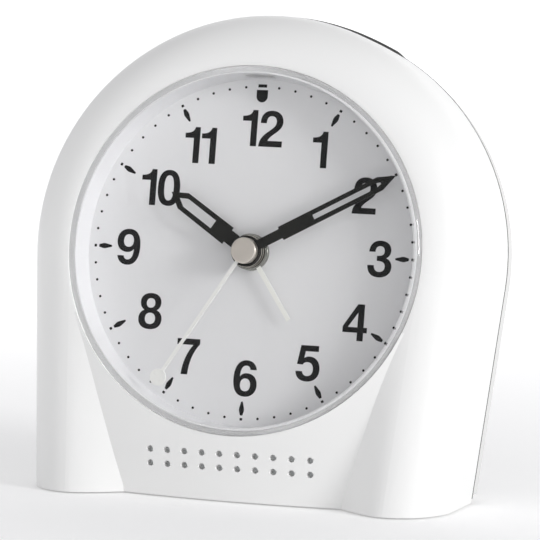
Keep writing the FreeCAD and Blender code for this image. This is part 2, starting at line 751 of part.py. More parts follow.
def skeleton_blade(blade, window, level):
    """Neck, blade with a pointed tip, and a pointed window cut through it."""
    (neck, root, shoulder), (root_y, shoulder_y, tip_y) = blade
    edge = [(-neck, 0), (-neck, root_y), (-root, root_y), (-shoulder, shoulder_y), (0, tip_y)]
    half, (foot_y, bend_y, point_y) = window
    hole = [(-half, foot_y), (-half, bend_y), (0, point_y)]
    return plate(mirrored(edge), *level).cut(plate(mirrored(hole), *level))


def tapered_blade(half_widths, start, end, level):
    root, tip = half_widths
    return plate(mirrored([(-root, start), (-tip, end)]), *level)


def hour_hand():
    blade = skeleton_blade(HOUR_BLADE, HOUR_WINDOW, HOUR_LEVEL)
    return finish_hand(blade, HOUR_LEVEL, HAND_HUB_R, HOUR_TUBE_R, HOUR_ANGLE)


def minute_hand():
    blade = skeleton_blade(MINUTE_BLADE, MINUTE_WINDOW, MINUTE_LEVEL)
    return finish_hand(blade, MINUTE_LEVEL, HAND_HUB_R, MINUTE_TUBE_R, MINUTE_ANGLE)


def second_hand():
    blade = tapered_blade(SECOND_HALF_WIDTHS, -SECOND_TAIL, SECOND_NECK, SECOND_LEVEL)
    blade = fused([blade, disc(SECOND_DISC_R, *SECOND_LEVEL, at=SECOND_DISC_AT)])
    return finish_hand(blade, SECOND_LEVEL, SECOND_HUB_R, SECOND_ARBOR_R, SECOND_ANGLE)


def alarm_hand():
    blade = tapered_blade(ALARM_HALF_WIDTHS, 0, ALARM_LENGTH, ALARM_LEVEL)
    return finish_hand(blade, ALARM_LEVEL, HAND_HUB_R, ALARM_TUBE_R, ALARM_ANGLE)


def finish_hand(blade, level, radius, bore, angle):
    body = blade.fuse(disc(radius, level[0] - HUB_DROP, level[1])).removeSplitter()
    return pointed(body.cut(disc(bore + 0.01, level[0] - 1, level[1] + 1)), angle)


def second_cap():
    cap = disc(CAP_R, SECOND_LEVEL[1], CAP_TOP)
    rims = [edge for edge in cap.Edges if abs(edge.BoundBox.ZMin - CAP_TOP) < 0.01]
    return cap.makeFillet(CAP_ROUND, rims).cut(disc(SECOND_ARBOR_R + 0.01, 0, SECOND_LEVEL[1] + 0.4))


# ---------------------------------------------------------------- gears

def gear(teeth, module, low, at, phase):
    """Straight-sided teeth, wide at the root and narrow at the tip, with running backlash."""
    root_r = (teeth / 2 - DEDENDUM) * module
    tip_r = (teeth / 2 + ADDENDUM) * module
    corners = ((root_r, -ROOT_SHARE), (tip_r, -TIP_SHARE), (tip_r, TIP_SHARE), (root_r, ROOT_SHARE))
    points = []
    for tooth in range(teeth):
        for radius, share in corners:
            angle = phase + 2 * math.pi * (tooth + share) / teeth
            points.append((at.x + radius * math.cos(angle), at.y + radius * math.sin(angle)))
    return plate(points, low, low + GEAR_T)


def way(start, end):
    return math.atan2(end.y - start.y, end.x - start.x)


def meshing_phase(driver, driver_teeth, driver_phase, follower, teeth):
    """Phase that puts a gap of the follower where the driver's tooth stands."""
    line = way(driver, follower)
    share = (line - driver_phase) * driver_teeth / (2 * math.pi)
    return line + math.pi - (0.5 - share) * 2 * math.pi / teeth


def second_arbor():
    wheel = gear(SECOND_WHEEL, SECOND_MODULE, LEVEL_SECOND, CENTRE_AT, 0)
    pinion = gear(SECOND_PINION, THIRD_MODULE, LEVEL_THIRD, CENTRE_AT, 0)
    thick = disc(ARBOR_R, BOX_BACK + BOX_WALL, LEVEL_THIRD + GEAR_T)
    thin = disc(SECOND_ARBOR_R, BOX_BACK + BOX_WALL / 2, SECOND_LEVEL[1] + 0.3)
    return fused([wheel, pinion, thick, thin])


def third_wheel():
    wheel_phase = meshing_phase(CENTRE_AT, SECOND_PINION, 0, THIRD_AT, THIRD_WHEEL)
    wheel = gear(THIRD_WHEEL, THIRD_MODULE, LEVEL_THIRD, THIRD_AT, wheel_phase)
    pinion = gear(THIRD_PINION, CENTRE_MODULE, LEVEL_CENTRE, THIRD_AT, 0)
    return fused([wheel, pinion] + arbor(THIRD_AT))


def arbor(at):
    thick = disc(ARBOR_R, BOX_BACK + BOX_WALL + LOOSE, PLATE_BACK - LOOSE, at)
    thin = disc(PIVOT_R, BOX_BACK + BOX_WALL / 2, PLATE_BACK + PIVOT_LENGTH, at)
    return [thick, thin]


def centre_wheel():
    phase = meshing_phase(THIRD_AT, THIRD_PINION, 0, CENTRE_AT, CENTRE_WHEEL)
    wheel = gear(CENTRE_WHEEL, CENTRE_MODULE, LEVEL_CENTRE, CENTRE_AT, phase)
    return wheel.cut(disc(MINUTE_TUBE_R + 0.02, LEVEL_CENTRE, LEVEL_CENTRE + GEAR_T))


def minute_arbor():
    pinion = gear(CENTRE_PINION, MOTION_MODULE, LEVEL_MOTION, CENTRE_AT, 0)
    stem = disc(MINUTE_TUBE_R, LEVEL_CENTRE - 0.2, MINUTE_LEVEL[1] + 0.2)
    flange = disc(FLANGE_R, LEVEL_CENTRE + GEAR_T, LEVEL_MOTION)
    return fused([pinion, stem, flange]).cut(disc(SECOND_ARBOR_R + RUNNING, LEVEL_CENTRE - 1, FAR))


def motion_wheel():
    phase = meshing_phase(CENTRE_AT, CENTRE_PINION, 0, MOTION_AT, MOTION_WHEEL)
    wheel = gear(MOTION_WHEEL, MOTION_MODULE, LEVEL_MOTION, MOTION_AT, phase)
    pinion = gear(MOTION_PINION, HOUR_MODULE, LEVEL_HOUR, MOTION_AT, 0)
    boss = disc(1.2, LEVEL_MOTION + GEAR_T, LEVEL_HOUR, MOTION_AT)
    return fused([wheel, boss, pinion]).cut(disc(PIVOT_R + RUNNING, -FAR, 0, MOTION_AT))


def hour_wheel():
    phase = meshing_phase(MOTION_AT, MOTION_PINION, 0, CENTRE_AT, HOUR_WHEEL)
    wheel = gear(HOUR_WHEEL, HOUR_MODULE, LEVEL_HOUR, CENTRE_AT, phase)
    stem = disc(HOUR_TUBE_R, LEVEL_HOUR, HOUR_LEVEL[1] + 0.2)
    return fused([wheel, stem]).cut(disc(MINUTE_TUBE_R + RUNNING, -FAR, FAR))


def alarm_wheel():
    wheel = gear(ALARM_GEAR, ALARM_MODULE, LEVEL_ALARM, CENTRE_AT, 0)
    stem = disc(ALARM_TUBE_R, LEVEL_ALARM, ALARM_LEVEL[1] + 0.2)
    return fused([wheel, stem]).cut(disc(HOUR_TUBE_R + RUNNING, -FAR, FAR))


def fifth_wheel():
    pinion_phase = meshing_phase(CENTRE_AT, SECOND_WHEEL, 0, FIFTH_AT, FIFTH_PINION)
    pinion = gear(FIFTH_PINION, SECOND_MODULE, LEVEL_SECOND, FIFTH_AT, pinion_phase)
    wheel = gear(FIFTH_WHEEL, FIFTH_MODULE, LEVEL_FIFTH, FIFTH_AT, 0)
    return fused([pinion, wheel] + arbor(FIFTH_AT))


def motor_rotor():
    phase = meshing_phase(FIFTH_AT, FIFTH_WHEEL, 0, ROTOR_AT, ROTOR_PINION)
    pinion = gear(ROTOR_PINION, FIFTH_MODULE, LEVEL_FIFTH, ROTOR_AT, phase)
    magnet = disc(MAGNET_R, MAGNET_LOW, MAGNET_TOP, ROTOR_AT)
    return fused([pinion, magnet] + arbor(ROTOR_AT))


def setting_shaft(at, pinion):
    thick = disc(SHAFT_R, KNOB_BACK + 1.5, pinion.BoundBox.ZMin, at)
    thin = disc(ARBOR_R, pinion.BoundBox.ZMin, PLATE_BACK + PIVOT_LENGTH, at)
    return fused([pinion, thick, thin])


def time_shaft():
    motion_phase = meshing_phase(CENTRE_AT, CENTRE_PINION, 0, MOTION_AT, MOTION_WHEEL)
    phase = meshing_phase(MOTION_AT, MOTION_WHEEL, motion_phase, TIME_AT, TIME_PINION)
    return setting_shaft(TIME_AT, gear(TIME_PINION, MOTION_MODULE, LEVEL_MOTION, TIME_AT, phase))


def alarm_shaft():
    phase = meshing_phase(CENTRE_AT, ALARM_GEAR, 0, ALARM_AT, ALARM_GEAR)
    return setting_shaft(ALARM_AT, gear(ALARM_GEAR, ALARM_MODULE, LEVEL_ALARM, ALARM_AT, phase))


def knob(at):
    body = disc(KNOB_R, KNOB_BACK, KNOB_FRONT, at)
    rims = [edge for edge in body.Edges if abs(edge.BoundBox.ZMax - KNOB_BACK) < 0.01]
    body = body.makeChamfer(0.5, rims)
    for i in range(KNOB_FLUTES):
        angle = 2 * math.pi * i / KNOB_FLUTES
        groove = Vector(at.x + KNOB_R * math.cos(angle), at.y + KNOB_R * math.sin(angle), 0)
        body = body.cut(disc(FLUTE_R, KNOB_BACK, KNOB_FRONT, groove))
    return body.cut(disc(SHAFT_R + 0.01, KNOB_BACK + 1.5, KNOB_FRONT, at))


# ---------------------------------------------------------------- movement

def movement_front():
    square = (-BOX_HALF, BOX_HALF)
    body = block(square, square, (PLATE_BACK, CARRIER_BACK))
    stud = disc(PIVOT_R, LEVEL_MOTION - 0.3, PLATE_BACK, MOTION_AT)
    body = fused([body, disc(BUSH_R, CARRIER_BACK, COLLAR_TOP), stud])
    body = body.cut(disc(ALARM_TUBE_R + RUNNING, PLATE_BACK, COLLAR_TOP))
    bearing = (PLATE_BACK, PLATE_BACK + PIVOT_LENGTH + LOOSE)
    body = drilled(body, PIVOT_R + RUNNING, *bearing, points=PIVOT_POINTS)
    body = drilled(body, ARBOR_R + RUNNING, *bearing, points=SHAFT_POINTS)
    return drilled(body, BOX_SCREW_R + PRESSED, PLATE_BACK, CARRIER_BACK, box_corners())


def box_corners():
    return [(x, y) for x in (-BOX_SCREW_AT, BOX_SCREW_AT) for y in (-BOX_SCREW_AT, BOX_SCREW_AT)]


def movement_housing():
    square = (-BOX_HALF, BOX_HALF)
    inside = (-BOX_HALF + BOX_WALL, BOX_HALF - BOX_WALL)
    floor = BOX_BACK + BOX_WALL
    body = block(square, square, (BOX_BACK, PLATE_BACK)).cut(block(inside, inside, (floor, PLATE_BACK)))
    posts = at_points(BOX_BOSS_R, BOX_BACK, PLATE_BACK, box_corners())
    posts += at_points(BOARD_POST_R, BOX_BACK, BOARD_LOW, BOARD_SCREWS)
    posts += at_points(STATOR_POST_R, BOX_BACK, STATOR_LOW, stator_posts())
    body = fused([body] + posts)
    body = drilled(body, BOX_SCREW_R + PRESSED, BOX_BACK, PLATE_BACK, box_corners())
    blind = BOX_BACK + PIVOT_LENGTH / 2
    body = drilled(body, BOX_SCREW_R + PRESSED, blind, BOARD_LOW, BOARD_SCREWS)
    body = drilled(body, SHAFT_R + LOOSE, BOX_BACK, floor, SHAFT_POINTS)
    return drilled(body, PIVOT_R + RUNNING, blind, floor, PIVOT_POINTS + [(0, 0)])


def movement_screws():
    head = (BOX_BACK - BOX_HEAD_T, BOX_BACK)
    shank = (BOX_BACK, CARRIER_BACK - LOOSE)
    return screw_set(box_corners(), BOX_HEAD_R, head, BOX_SCREW_R, shank)


def stator_posts():
    reach = COIL_HALF + STATOR_POST_OUT
    return ((COIL_AT.x, COIL_AT.y - reach), (COIL_AT.x, COIL_AT.y + reach))


def motor_stator():
    """Two legs of one plate, from the rotor's bore to both ends of the coil."""
    legs = [plate(outline, STATOR_LOW, STATOR_TOP) for outline in (STATOR_LOWER, STATOR_UPPER)]
    return fused(legs).cut(disc(MAGNET_R + STATOR_GAP, STATOR_LOW, STATOR_TOP, ROTOR_AT))


def motor_coil():
    ends = (COIL_AT.y - COIL_HALF, COIL_AT.y + COIL_HALF)
    base = Vector(COIL_AT.x, ends[0], COIL_AT.z)
    winding = Part.makeCylinder(COIL_R, 2 * COIL_HALF, base, Vector(0, 1, 0))
    width = widened((COIL_AT.x, COIL_AT.x), CHEEK_HALF)
    height = (STATOR_TOP, COIL_AT.z + CHEEK_HALF)
    cheeks = [block(width, (y, y + CHEEK_T), height) for y in (ends[0] - CHEEK_T, ends[1])]
    return fused([winding] + cheeks)


def circuit_board():
    board = block(BOARD_X, BOARD_Y, (BOARD_LOW, BOARD_TOP))
    return drilled(board, BOX_SCREW_R + LOOSE, BOARD_LOW, BOARD_TOP, BOARD_SCREWS)


def board_screws():
    head = (BOARD_TOP, BOARD_TOP + BOX_HEAD_T)
    shank = (BOARD_LOW - BOARD_GRIP, BOARD_TOP)
    return screw_set(BOARD_SCREWS, BOX_HEAD_R, head, BOX_SCREW_R, shank)


def control_chip():
    return block(CHIP_X, CHIP_Y, (BOARD_TOP, BOARD_TOP + CHIP_T))


def quartz_crystal():
    return along_x(CRYSTAL_R, *CRYSTAL_X, CRYSTAL_Y, BOARD_TOP + CRYSTAL_R)


def speaker_frame():
    front = CARRIER_BACK
    step = front - SPEAKER_FLANGE_T
    pot = [(MAGNET_POT_R - SPEAKER_LEDGE, BASKET_BACK), (0, BASKET_BACK), (0, MAGNET_POT_BACK),
           (MAGNET_POT_R, MAGNET_POT_BACK), (MAGNET_POT_R, BASKET_BACK - BASKET_T)]
    flange = [(SPEAKER_MOUTH_R + SPEAKER_LEDGE, step), (SPEAKER_R, step), (SPEAKER_R, front)]
    mouth = [(SPEAKER_MOUTH_R, front), (SPEAKER_MOUTH_R, step), (SPEAKER_MOUTH_R - SPEAKER_LEDGE, step)]
    body = turned(pot + flange + mouth)
    body.translate(SPEAKER_AT)
    return body


def speaker_cone():
    """Shallow paper cone; its flat rim lies on the ledge inside the frame."""
    ledge = CARRIER_BACK - SPEAKER_FLANGE_T
    rim_r = SPEAKER_MOUTH_R - RUNNING
    under = [(0, CONE_LOW), (CONE_CAP_R, CONE_LOW), (rim_r - CONE_RIM, ledge), (rim_r, ledge)]
    body = turned(under + [(r, z + CONE_T) for r, z in reversed(under)])
    body.translate(SPEAKER_AT)
    return body


# ---------------------------------------------------------------- battery, switch

def battery_cell():
    end = BAY_HALF - CONTACT_T
    can = along_x(CELL_R, end - CELL_LENGTH, end - CELL_NUB, CELL_Y, CELL_Z)
    return fused([can, along_x(CELL_NUB_R, end - CELL_NUB, end, CELL_Y, CELL_Z)])


def contact_plate(x):
    across = widened((CELL_Y, CELL_Y), CONTACT_HALF)
    return block((x, x + CONTACT_T), across, widened((CELL_Z, CELL_Z), CONTACT_HALF))


def battery_contact_minus():
    """Flat plate with a coil spring that reaches the cell's end."""
    length = 2 * BAY_HALF - 2 * CONTACT_T - CELL_LENGTH - RUNNING
    coil = coil_spring(CONTACT_COIL_R, SPRING_WIRE_R, length, CONTACT_TURNS)
    coil.rotate(Vector(), Vector(0, 1, 0), 90)
    coil.translate(Vector(-BAY_HALF + CONTACT_T, CELL_Y, CELL_Z))
    return Part.makeCompound([contact_plate(-BAY_HALF), coil])


def coil_spring(radius, wire_r, length, turns):
    """Wire wound on +Z, six-sided to keep it light, its ends lying just inside the length."""
    rise = length - 2 * wire_r
    path = Part.makeHelix(rise / turns, rise, radius)
    path.translate(Vector(0, 0, wire_r))
    start = Vector(radius, 0, wire_r)
    turn = Rotation(Vector(0, 1, 0), 60)
    spoke = Vector(wire_r, 0, 0)
    corners = []
    for _ in range(7):
        corners.append(start + spoke)
        spoke = turn * spoke
    return Part.Wire(path).makePipeShell([Part.makePolygon(corners)], True, True)


def battery_door():
    """Flat panel with grip ribs. Its lower edge is a round barrel that turns on a pin at each end."""
    panel = block((-DOOR_HALF, DOOR_HALF), (HINGE_Y, DOOR_HIGH), (BACK, BACK + DOOR_T))
    barrel = along_x(DOOR_T / 2, -DOOR_HALF, DOOR_HALF, HINGE_Y, HINGE_Z)
    pin_end = DOOR_HALF + PIN_LENGTH
    pins = along_x(PIN_R, -pin_end, pin_end, HINGE_Y, HINGE_Z)
    ribs = []
    for i in range(GRIP_RIBS):
        y = DOOR_HIGH - GRIP_EDGE - GRIP_PITCH * i
        ribs.append(block((-GRIP_HALF, GRIP_HALF), (y - GRIP_T, y), (BACK - GRIP_PROUD, BACK)))
    return fused([panel, barrel, pins] + ribs)


def alarm_slider():
    middle = (-SWITCH_TRAVEL / 2, -SWITCH_TRAVEL / 2)
    stem = block(widened(middle, SWITCH_STEM / 2), STEM_Y, (BACK - STEM_PROUD, SLIDER_Z[1]))
    return fused([stem, block(widened(middle, SLIDER_HALF), SLIDER_Y, SLIDER_Z)])


def alarm_switch_body():
    """Housing on two feet; the slider's flange runs in the gap between them."""
    body = block((-SWITCH_BODY_HALF, SWITCH_BODY_HALF), SWITCH_BODY_Y, SWITCH_BODY_Z)
    gap = (BACK + COVER_WALL, SWITCH_BODY_Z[0])
    foot_x = (SWITCH_BODY_HALF - SWITCH_FOOT, SWITCH_BODY_HALF)
    return fused([body] + both_sides(block(foot_x, SWITCH_BODY_Y, gap)))


# ---------------------------------------------------------------- snooze bar

def upright(radius, x, y, low, high):
    return Part.makeCylinder(radius, high - low, Vector(x, DIAL_Y + y, DIAL_Z + low))


def snooze_shelf():
    shelf = block((-SHELF_HALF, SHELF_HALF), (DIAL_Y + SHELF_FRONT, DIAL_Y + SHELF_REAR),
                  (DIAL_Z + SHELF_LOW, DIAL_Z + SHELF_TOP))
    for x in (-GUIDE_X, GUIDE_X):
        shelf = shelf.cut(upright(GUIDE_R + RUNNING, x, GUIDE_Y, SHELF_LOW, SHELF_TOP))
    return shelf.cut(stood(disc(FAR, -DIAL_T - 1, FAR)))


def snooze_bar():
    """Curved top, a flange under the case's edge that stops it, two guide legs and a plunger."""
    top = front_arch(0, SEAM + LOOSE).cut(front_arch(WALL, SEAM - 1)).common(crescent(-BAR_GAP, SEAM))
    under_r = ARCH_R - WALL - 2 * LOOSE
    axis = Vector(0, ARCH_RISE, 0)
    under = tube(under_r, under_r - BAR_FLANGE_T, BAR_REAR, 0, axis).common(crescent(BAR_FLANGE, SEAM))
    web = tube(under_r + BAR_WEB, under_r - BAR_WEB, BAR_REAR, 0, axis)
    web = web.common(crescent(-2 * BAR_GAP, SEAM))
    body = stood(top.multiFuse([under, web]))
    legs = [upright(GUIDE_R, x, GUIDE_Y, GUIDE_END, BAR_UNDERSIDE) for x in (-GUIDE_X, GUIDE_X)]
    middle = DIAL_Y + GUIDE_Y
    plunger = block((-PLUNGER_HALF, PLUNGER_HALF), widened((middle, middle), PLUNGER_HALF),
                    (DIAL_Z + BUTTON_TOP + BAR_TRAVEL + LOOSE, DIAL_Z + BAR_UNDERSIDE))
    return body.multiFuse(legs + [plunger]).removeSplitter()


def snooze_spring(x):
    coil = coil_spring(SPRING_R, SPRING_WIRE_R, SPRING_LENGTH, SPRING_TURNS)
    coil.translate(Vector(x, DIAL_Y + GUIDE_Y, DIAL_Z + SHELF_TOP))
    return coil


def snooze_switch():
    middle = DIAL_Y + GUIDE_Y
    body = block((-SWITCH_HALF, SWITCH_HALF), widened((middle, middle), SWITCH_HALF),
                 (DIAL_Z + SHELF_TOP, DIAL_Z + SWITCH_TOP))
    return fused([body, upright(BUTTON_R, 0, GUIDE_Y, SWITCH_TOP, BUTTON_TOP)])


# ---------------------------------------------------------------- export

IN_DIAL_FRAME = {
    "lens": lens,
    "reflector_ring": reflector_ring,
    "grille_cloth": grille_cloth,
    "light_led": light_led,
    "dial": dial,
    "dial_collar": dial_collar,
    "carrier_screws": carrier_screws,
    "case_screws": case_screws,
    "hour_hand": hour_hand,
    "minute_hand": minute_hand,
    "second_hand": second_hand,
    "second_cap": second_cap,
    "alarm_hand": alarm_hand,
    "second_arbor": second_arbor,
    "third_wheel": third_wheel,
    "centre_wheel": centre_wheel,
    "minute_arbor": minute_arbor,
    "motion_wheel": motion_wheel,
    "hour_wheel": hour_wheel,
    "alarm_wheel": alarm_wheel,
    "fifth_wheel": fifth_wheel,
    "motor_rotor": motor_rotor,
    "time_shaft": time_shaft,
    "alarm_shaft": alarm_shaft,
    "time_knob": lambda: knob(TIME_AT),
    "alarm_knob": lambda: knob(ALARM_AT),
    "movement_front": movement_front,
    "movement_housing": movement_housing,
    "movement_screws": movement_screws,
    "motor_stator": motor_stator,
    "motor_coil": motor_coil,
    "circuit_board": circuit_board,
    "board_screws": board_screws,
    "control_chip": control_chip,
    "quartz_crystal": quartz_crystal,
    "speaker_frame": speaker_frame,
    "speaker_cone": speaker_cone,
    "battery_cell": battery_cell,
    "battery_contact_plus": lambda: contact_plate(BAY_HALF - CONTACT_T),
    "battery_contact_minus": battery_contact_minus,
    "battery_door": battery_door,
    "alarm_slider": alarm_slider,
    "alarm_switch_body": alarm_switch_body,
}

STANDING = {
    "front_case": front_case,
    "rear_cover": rear_cover,
    "dial_carrier": dial_carrier,
    "snooze_bar": snooze_bar,
    "snooze_spring_left": lambda: snooze_spring(-GUIDE_X),
    "snooze_spring_right": lambda: snooze_spring(GUIDE_X),
    "snooze_switch": snooze_switch,
}


def main():
    os.makedirs("parts", exist_ok=True)
    pieces = {name: stood(make()) for name, make in IN_DIAL_FRAME.items()}
    pieces.update({name: make() for name, make in STANDING.items()})
    for index, (x, y) in enumerate(foot_places()):
        pieces["foot_%d" % (index + 1)] = foot(x, y)
    for name, shape in pieces.items():
        shape.exportStep("parts/" + name + ".step")
        print(name, shape.isValid(), len(shape.Solids), round(shape.Volume, 1))


main()
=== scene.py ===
import json
import math

import bmesh
import bpy
from bpy.props import FloatProperty, FloatVectorProperty, PointerProperty
from mathutils import Matrix, Vector


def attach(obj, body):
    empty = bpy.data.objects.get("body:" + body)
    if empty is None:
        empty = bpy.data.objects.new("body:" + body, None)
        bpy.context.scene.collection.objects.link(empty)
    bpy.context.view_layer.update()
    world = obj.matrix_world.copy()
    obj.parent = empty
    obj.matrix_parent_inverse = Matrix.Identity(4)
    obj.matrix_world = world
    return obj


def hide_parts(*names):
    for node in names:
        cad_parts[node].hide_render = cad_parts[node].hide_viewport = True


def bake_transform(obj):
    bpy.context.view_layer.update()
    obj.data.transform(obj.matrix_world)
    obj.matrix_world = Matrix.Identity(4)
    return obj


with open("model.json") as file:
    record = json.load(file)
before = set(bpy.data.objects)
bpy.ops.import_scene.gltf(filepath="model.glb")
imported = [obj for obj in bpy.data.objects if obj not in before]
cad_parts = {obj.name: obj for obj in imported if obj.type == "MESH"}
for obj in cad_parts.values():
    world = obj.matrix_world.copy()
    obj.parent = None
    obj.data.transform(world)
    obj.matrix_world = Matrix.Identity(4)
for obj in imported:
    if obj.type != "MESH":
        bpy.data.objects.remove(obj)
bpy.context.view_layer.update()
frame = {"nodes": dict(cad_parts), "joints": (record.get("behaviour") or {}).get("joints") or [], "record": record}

bl_info = {
    "name": "Arched alarm clock",
    "version": (1, 0, 0),
    "blender": (4, 5, 0),
    "location": "View3D > Sidebar > Clock",
    "description": "Dresses the clock's solids: dial print, lens, hands, finishes and a studio stage",
    "category": "Object",
}

MM = 0.001
SAME_POINT = 1e-6          # points this near each other are one, metres
WAVE_PERIODS = 20          # bands that a wave texture draws in one unit of its own scale


# ---------------------------------------------------------------- where the dial is

def joint(name):
    return next(entry for entry in frame["joints"] if entry["name"] == name)


OUT = -Vector(joint("second_hand_turn")["axis"]).normalized()
RIGHT = Vector((1, 0, 0))
UP = OUT.cross(RIGHT)
AXIS_POINT = Vector(joint("second_hand_turn")["pos_m"])


def front_of(node):
    """How far a node's foremost point lies along the dial's outward direction."""
    return max(vertex.co.dot(OUT) for vertex in frame["nodes"][node].data.vertices)


DIAL_FACE = front_of("dial")
DIAL_CENTRE = AXIS_POINT + (DIAL_FACE - AXIS_POINT.dot(OUT)) * OUT
DIAL_PLACE = Matrix.Translation(DIAL_CENTRE) @ Matrix((RIGHT, UP, OUT)).transposed().to_4x4()


# Levels of the hands in front of the dial, back and front, and what sits on their axis, in millimetres
HOUR_LEVEL = (2.9, 3.3)
MINUTE_LEVEL = (4.3, 4.7)
SECOND_LEVEL = (5.6, 5.9)
HUB_R, HUB_BORE = 3.7, 1.2                 # hubs of the black hands
HUB_BEHIND, HUB_PROUD = 0.32, 0.04         # how far a hub reaches behind and in front of its hand
HUB_EDGE, HUB_EDGE_BEHIND = 0.08, (0.4, 0.3)     # its bare edge: width past the hub, back and front
COLLAR = (3.05, 4.35, 0.02, 1.1, 0.3)      # inner and outer radius, back, front and rounding
WASHER = (2.3, 4.3, 2.0, 2.3, 0.12)
SECOND_HUB_R, SECOND_HUB_BEHIND = 1.6, 0.3
CAP_R, CAP_LOW, CAP_TOP, CAP_ROUND = 3.1, 4.95, 6.8, 0.35
CAP_SOCKET = (0.5, 6.2)    # radius and height of the hole for the second arbor

# The second hand's own shape
BLADE_ROOT, BLADE_TIP, BLADE_LENGTH = 0.43, 0.38, 35.2     # half widths and length, millimetres
TIP_DISC_R, TIP_DISC_AT = 2.03, 36.55
SECOND_ANGLE = -148.43     # clockwise from twelve, at rest, degrees

# Lens and reflector ring, in millimetres in front of the dial
LENS_R, LENS_FRONT, LENS_BACK = 43.75, 8.75, 5.9
LENS_WALL, LENS_PANE = 1.4, 1.5
PALE_RIM_FROM = 0.95           # the rim that is painted pale, as painted light, begins at this share of the lens's bore
FLANGE_R = 42.0            # bore of the ring's flange inside the lens

# The case behind the dial, in millimetres in the dial's own frame
ARCH_R = 56.5
ARCH_RISE = 1.0            # arch centre above the dial centre
SIDE_TAPER = 5.0           # each side leans in towards the base, degrees
SEAM_BACK = 23.0           # seam behind the dial
BAR_ARC_R = 36.0           # plan radius of the snooze bar's front edge
BAR_CENTRE_BACK = 45.8     # and that arc's centre behind the dial
BAR_HALF = 27.9            # the bar's half width at the seam
BAR_RISE, BAR_RISE_MIDDLE = 0.65, 0.35     # how far the bar stands above the case, near its ends and midway
BAR_FULL_RISE_AT, BAR_FADE = 18.0, 1.8     # across from the middle, and in from each end
BAR_WALL = 0.8
GAP_BEHIND, GAP_TOP, GAP_DEPTH, GAP_WALL = 0.2, 0.1, 1.6, 0.3      # the dark strip under the bar's edge, painted shade of the gap there
SEAM_STRIP_IN = 0.2        # the middle of the seam's dark strip, painted shade, inside the arch's radius
COVER_LIP_IN = 0.6         # and the rear cover's lip
BAND_WALL = 0.5


# ---------------------------------------------------------------- colours

def linear(code):
    """An sRGB hex colour as linear red, green and blue."""
    values = [int(code[i:i + 2], 16) / 255 for i in (1, 3, 5)]
    return tuple(value / 12.92 if value <= 0.04045 else ((value + 0.055) / 1.055) ** 2.4 for value in values)


def colour(name, description, code):
    return FloatVectorProperty(name=name, description=description, subtype="COLOR", size=3, min=0, max=1,
                               default=linear(code))


def length(name, description, millimetres):
    return FloatProperty(name=name, description=description, unit="LENGTH", default=millimetres * MM)


class ClockColours(bpy.types.PropertyGroup):
    case: colour("Case", "Moulded white of the front case", "#F2F2F1")
    # Greyer than the case: painted shade for the cover's roll away from the light.
    cover: colour("Rear cover", "Greyer moulded white of the rear cover and its door", "#DADAD9")
    dial: colour("Dial", "Pale cool grey of the dial", "#EBEBEC")
    print: colour("Print", "Ink of the numerals and marks", "#1B1A1B")
    black: colour("Black hands", "Enamel of the hour and minute hands", "#161613")
    white: colour("Second hand", "Enamel of the second hand", "#F5F5F2")
    cream: colour("Alarm hand", "Enamel of the alarm hand", "#F5F5F0")
    nickel: colour("Nickel", "Satin nickel of the centre cap", "#D6CFC6")
    ring: colour("Ring", "Reflector ring round the dial", "#EAEAEC")
    # The feet's rubber also colours the dark strips in the seam and under the snooze bar, which are painted shade.
    rubber: colour("Feet", "Rubber of the feet", "#3A3A3A")


class ClockSizes(bpy.types.PropertyGroup):
    numeral_height: length("Numeral height", "Height of the printed numerals", 8.65)
    ink: length("Ink thickness", "How far the print stands on the dial", 0.03)
    dot: length("Minute dot", "Diameter of a printed minute dot", 0.62)
    dot_radius: length("Minute track", "Radius that the minute dots stand on", 39.5)
    mark_inner: length("Hour mark, inner end", "Radius of the inner end of an hour mark", 35.4)
    mark_outer: length("Hour mark, outer end", "Radius of the outer end of an hour mark", 38.7)
    lens_round: length("Lens edge", "Rounding of the lens's front edge", 1.6)


class StageSettings(bpy.types.PropertyGroup):
    focal_length: FloatProperty(name="Focal length", description="Camera lens in millimetres", default=233.33)
    key: FloatProperty(name="Key light", description="Watts of the small softbox on the right", default=5.5)
    fill: FloatProperty(name="Front light", description="Watts of the large softbox in front", default=1.0)
    sky: FloatProperty(name="Surround", description="Strength of the white surround", default=0.6)
    table: FloatProperty(name="Table light", description="Glow of the table round the clock", default=0.14)
    backdrop: FloatProperty(name="Backdrop light", description="Glow of the raised backdrop", default=0.48)


def colours():
    return bpy.context.scene.clock_colours


def sizes():
    return bpy.context.scene.clock_sizes


# ---------------------------------------------------------------- modelling

def deselect():
    bpy.ops.object.select_all(action="DESELECT")


def activate(piece):
    deselect()
    piece.select_set(True)
    bpy.context.view_layer.objects.active = piece


def named(name):
    """The piece that an operator has just added, under its own name."""
    piece = bpy.context.object
    piece.name = name
    piece.data.name = name
    return piece


def pick(piece, kind, test):
    """In edit mode, selects the piece's vertices or edges that pass the test, and nothing else."""
    mesh = bmesh.from_edit_mesh(piece.data)
    bpy.ops.mesh.select_mode(type={"verts": "VERT", "edges": "EDGE"}[kind])
    bpy.ops.mesh.select_all(action="DESELECT")
    for element in getattr(mesh, kind):
        element.select_set(bool(test(element)))
    mesh.select_flush_mode()
    bmesh.update_edit_mesh(piece.data)


def select_whole():
    """In edit mode, selects the whole mesh."""
    bpy.ops.mesh.select_all(action="SELECT")


def face_outwards():
    """In edit mode, turns all the faces outwards."""
    select_whole()
    bpy.ops.mesh.normals_make_consistent(inside=False)


def extrude(offset):
    """In edit mode, extrudes what is selected by an offset in metres."""
    bpy.ops.mesh.extrude_region_move(TRANSFORM_OT_translate={"value": offset})


def smooth(piece):
    activate(piece)
    bpy.ops.object.shade_smooth_by_angle(angle=math.radians(30))


def new_object(name, data):
    piece = bpy.data.objects.new(name, data)
    bpy.context.collection.objects.link(piece)
    return piece


def middle(element):
    points = [vertex.co for vertex in element.verts]
    return sum(points, Vector()) / len(points)


def joined(name, pieces):
    activate(pieces[0])
    for piece in pieces:
        piece.select_set(True)
    bpy.ops.object.join()
    return named(name)


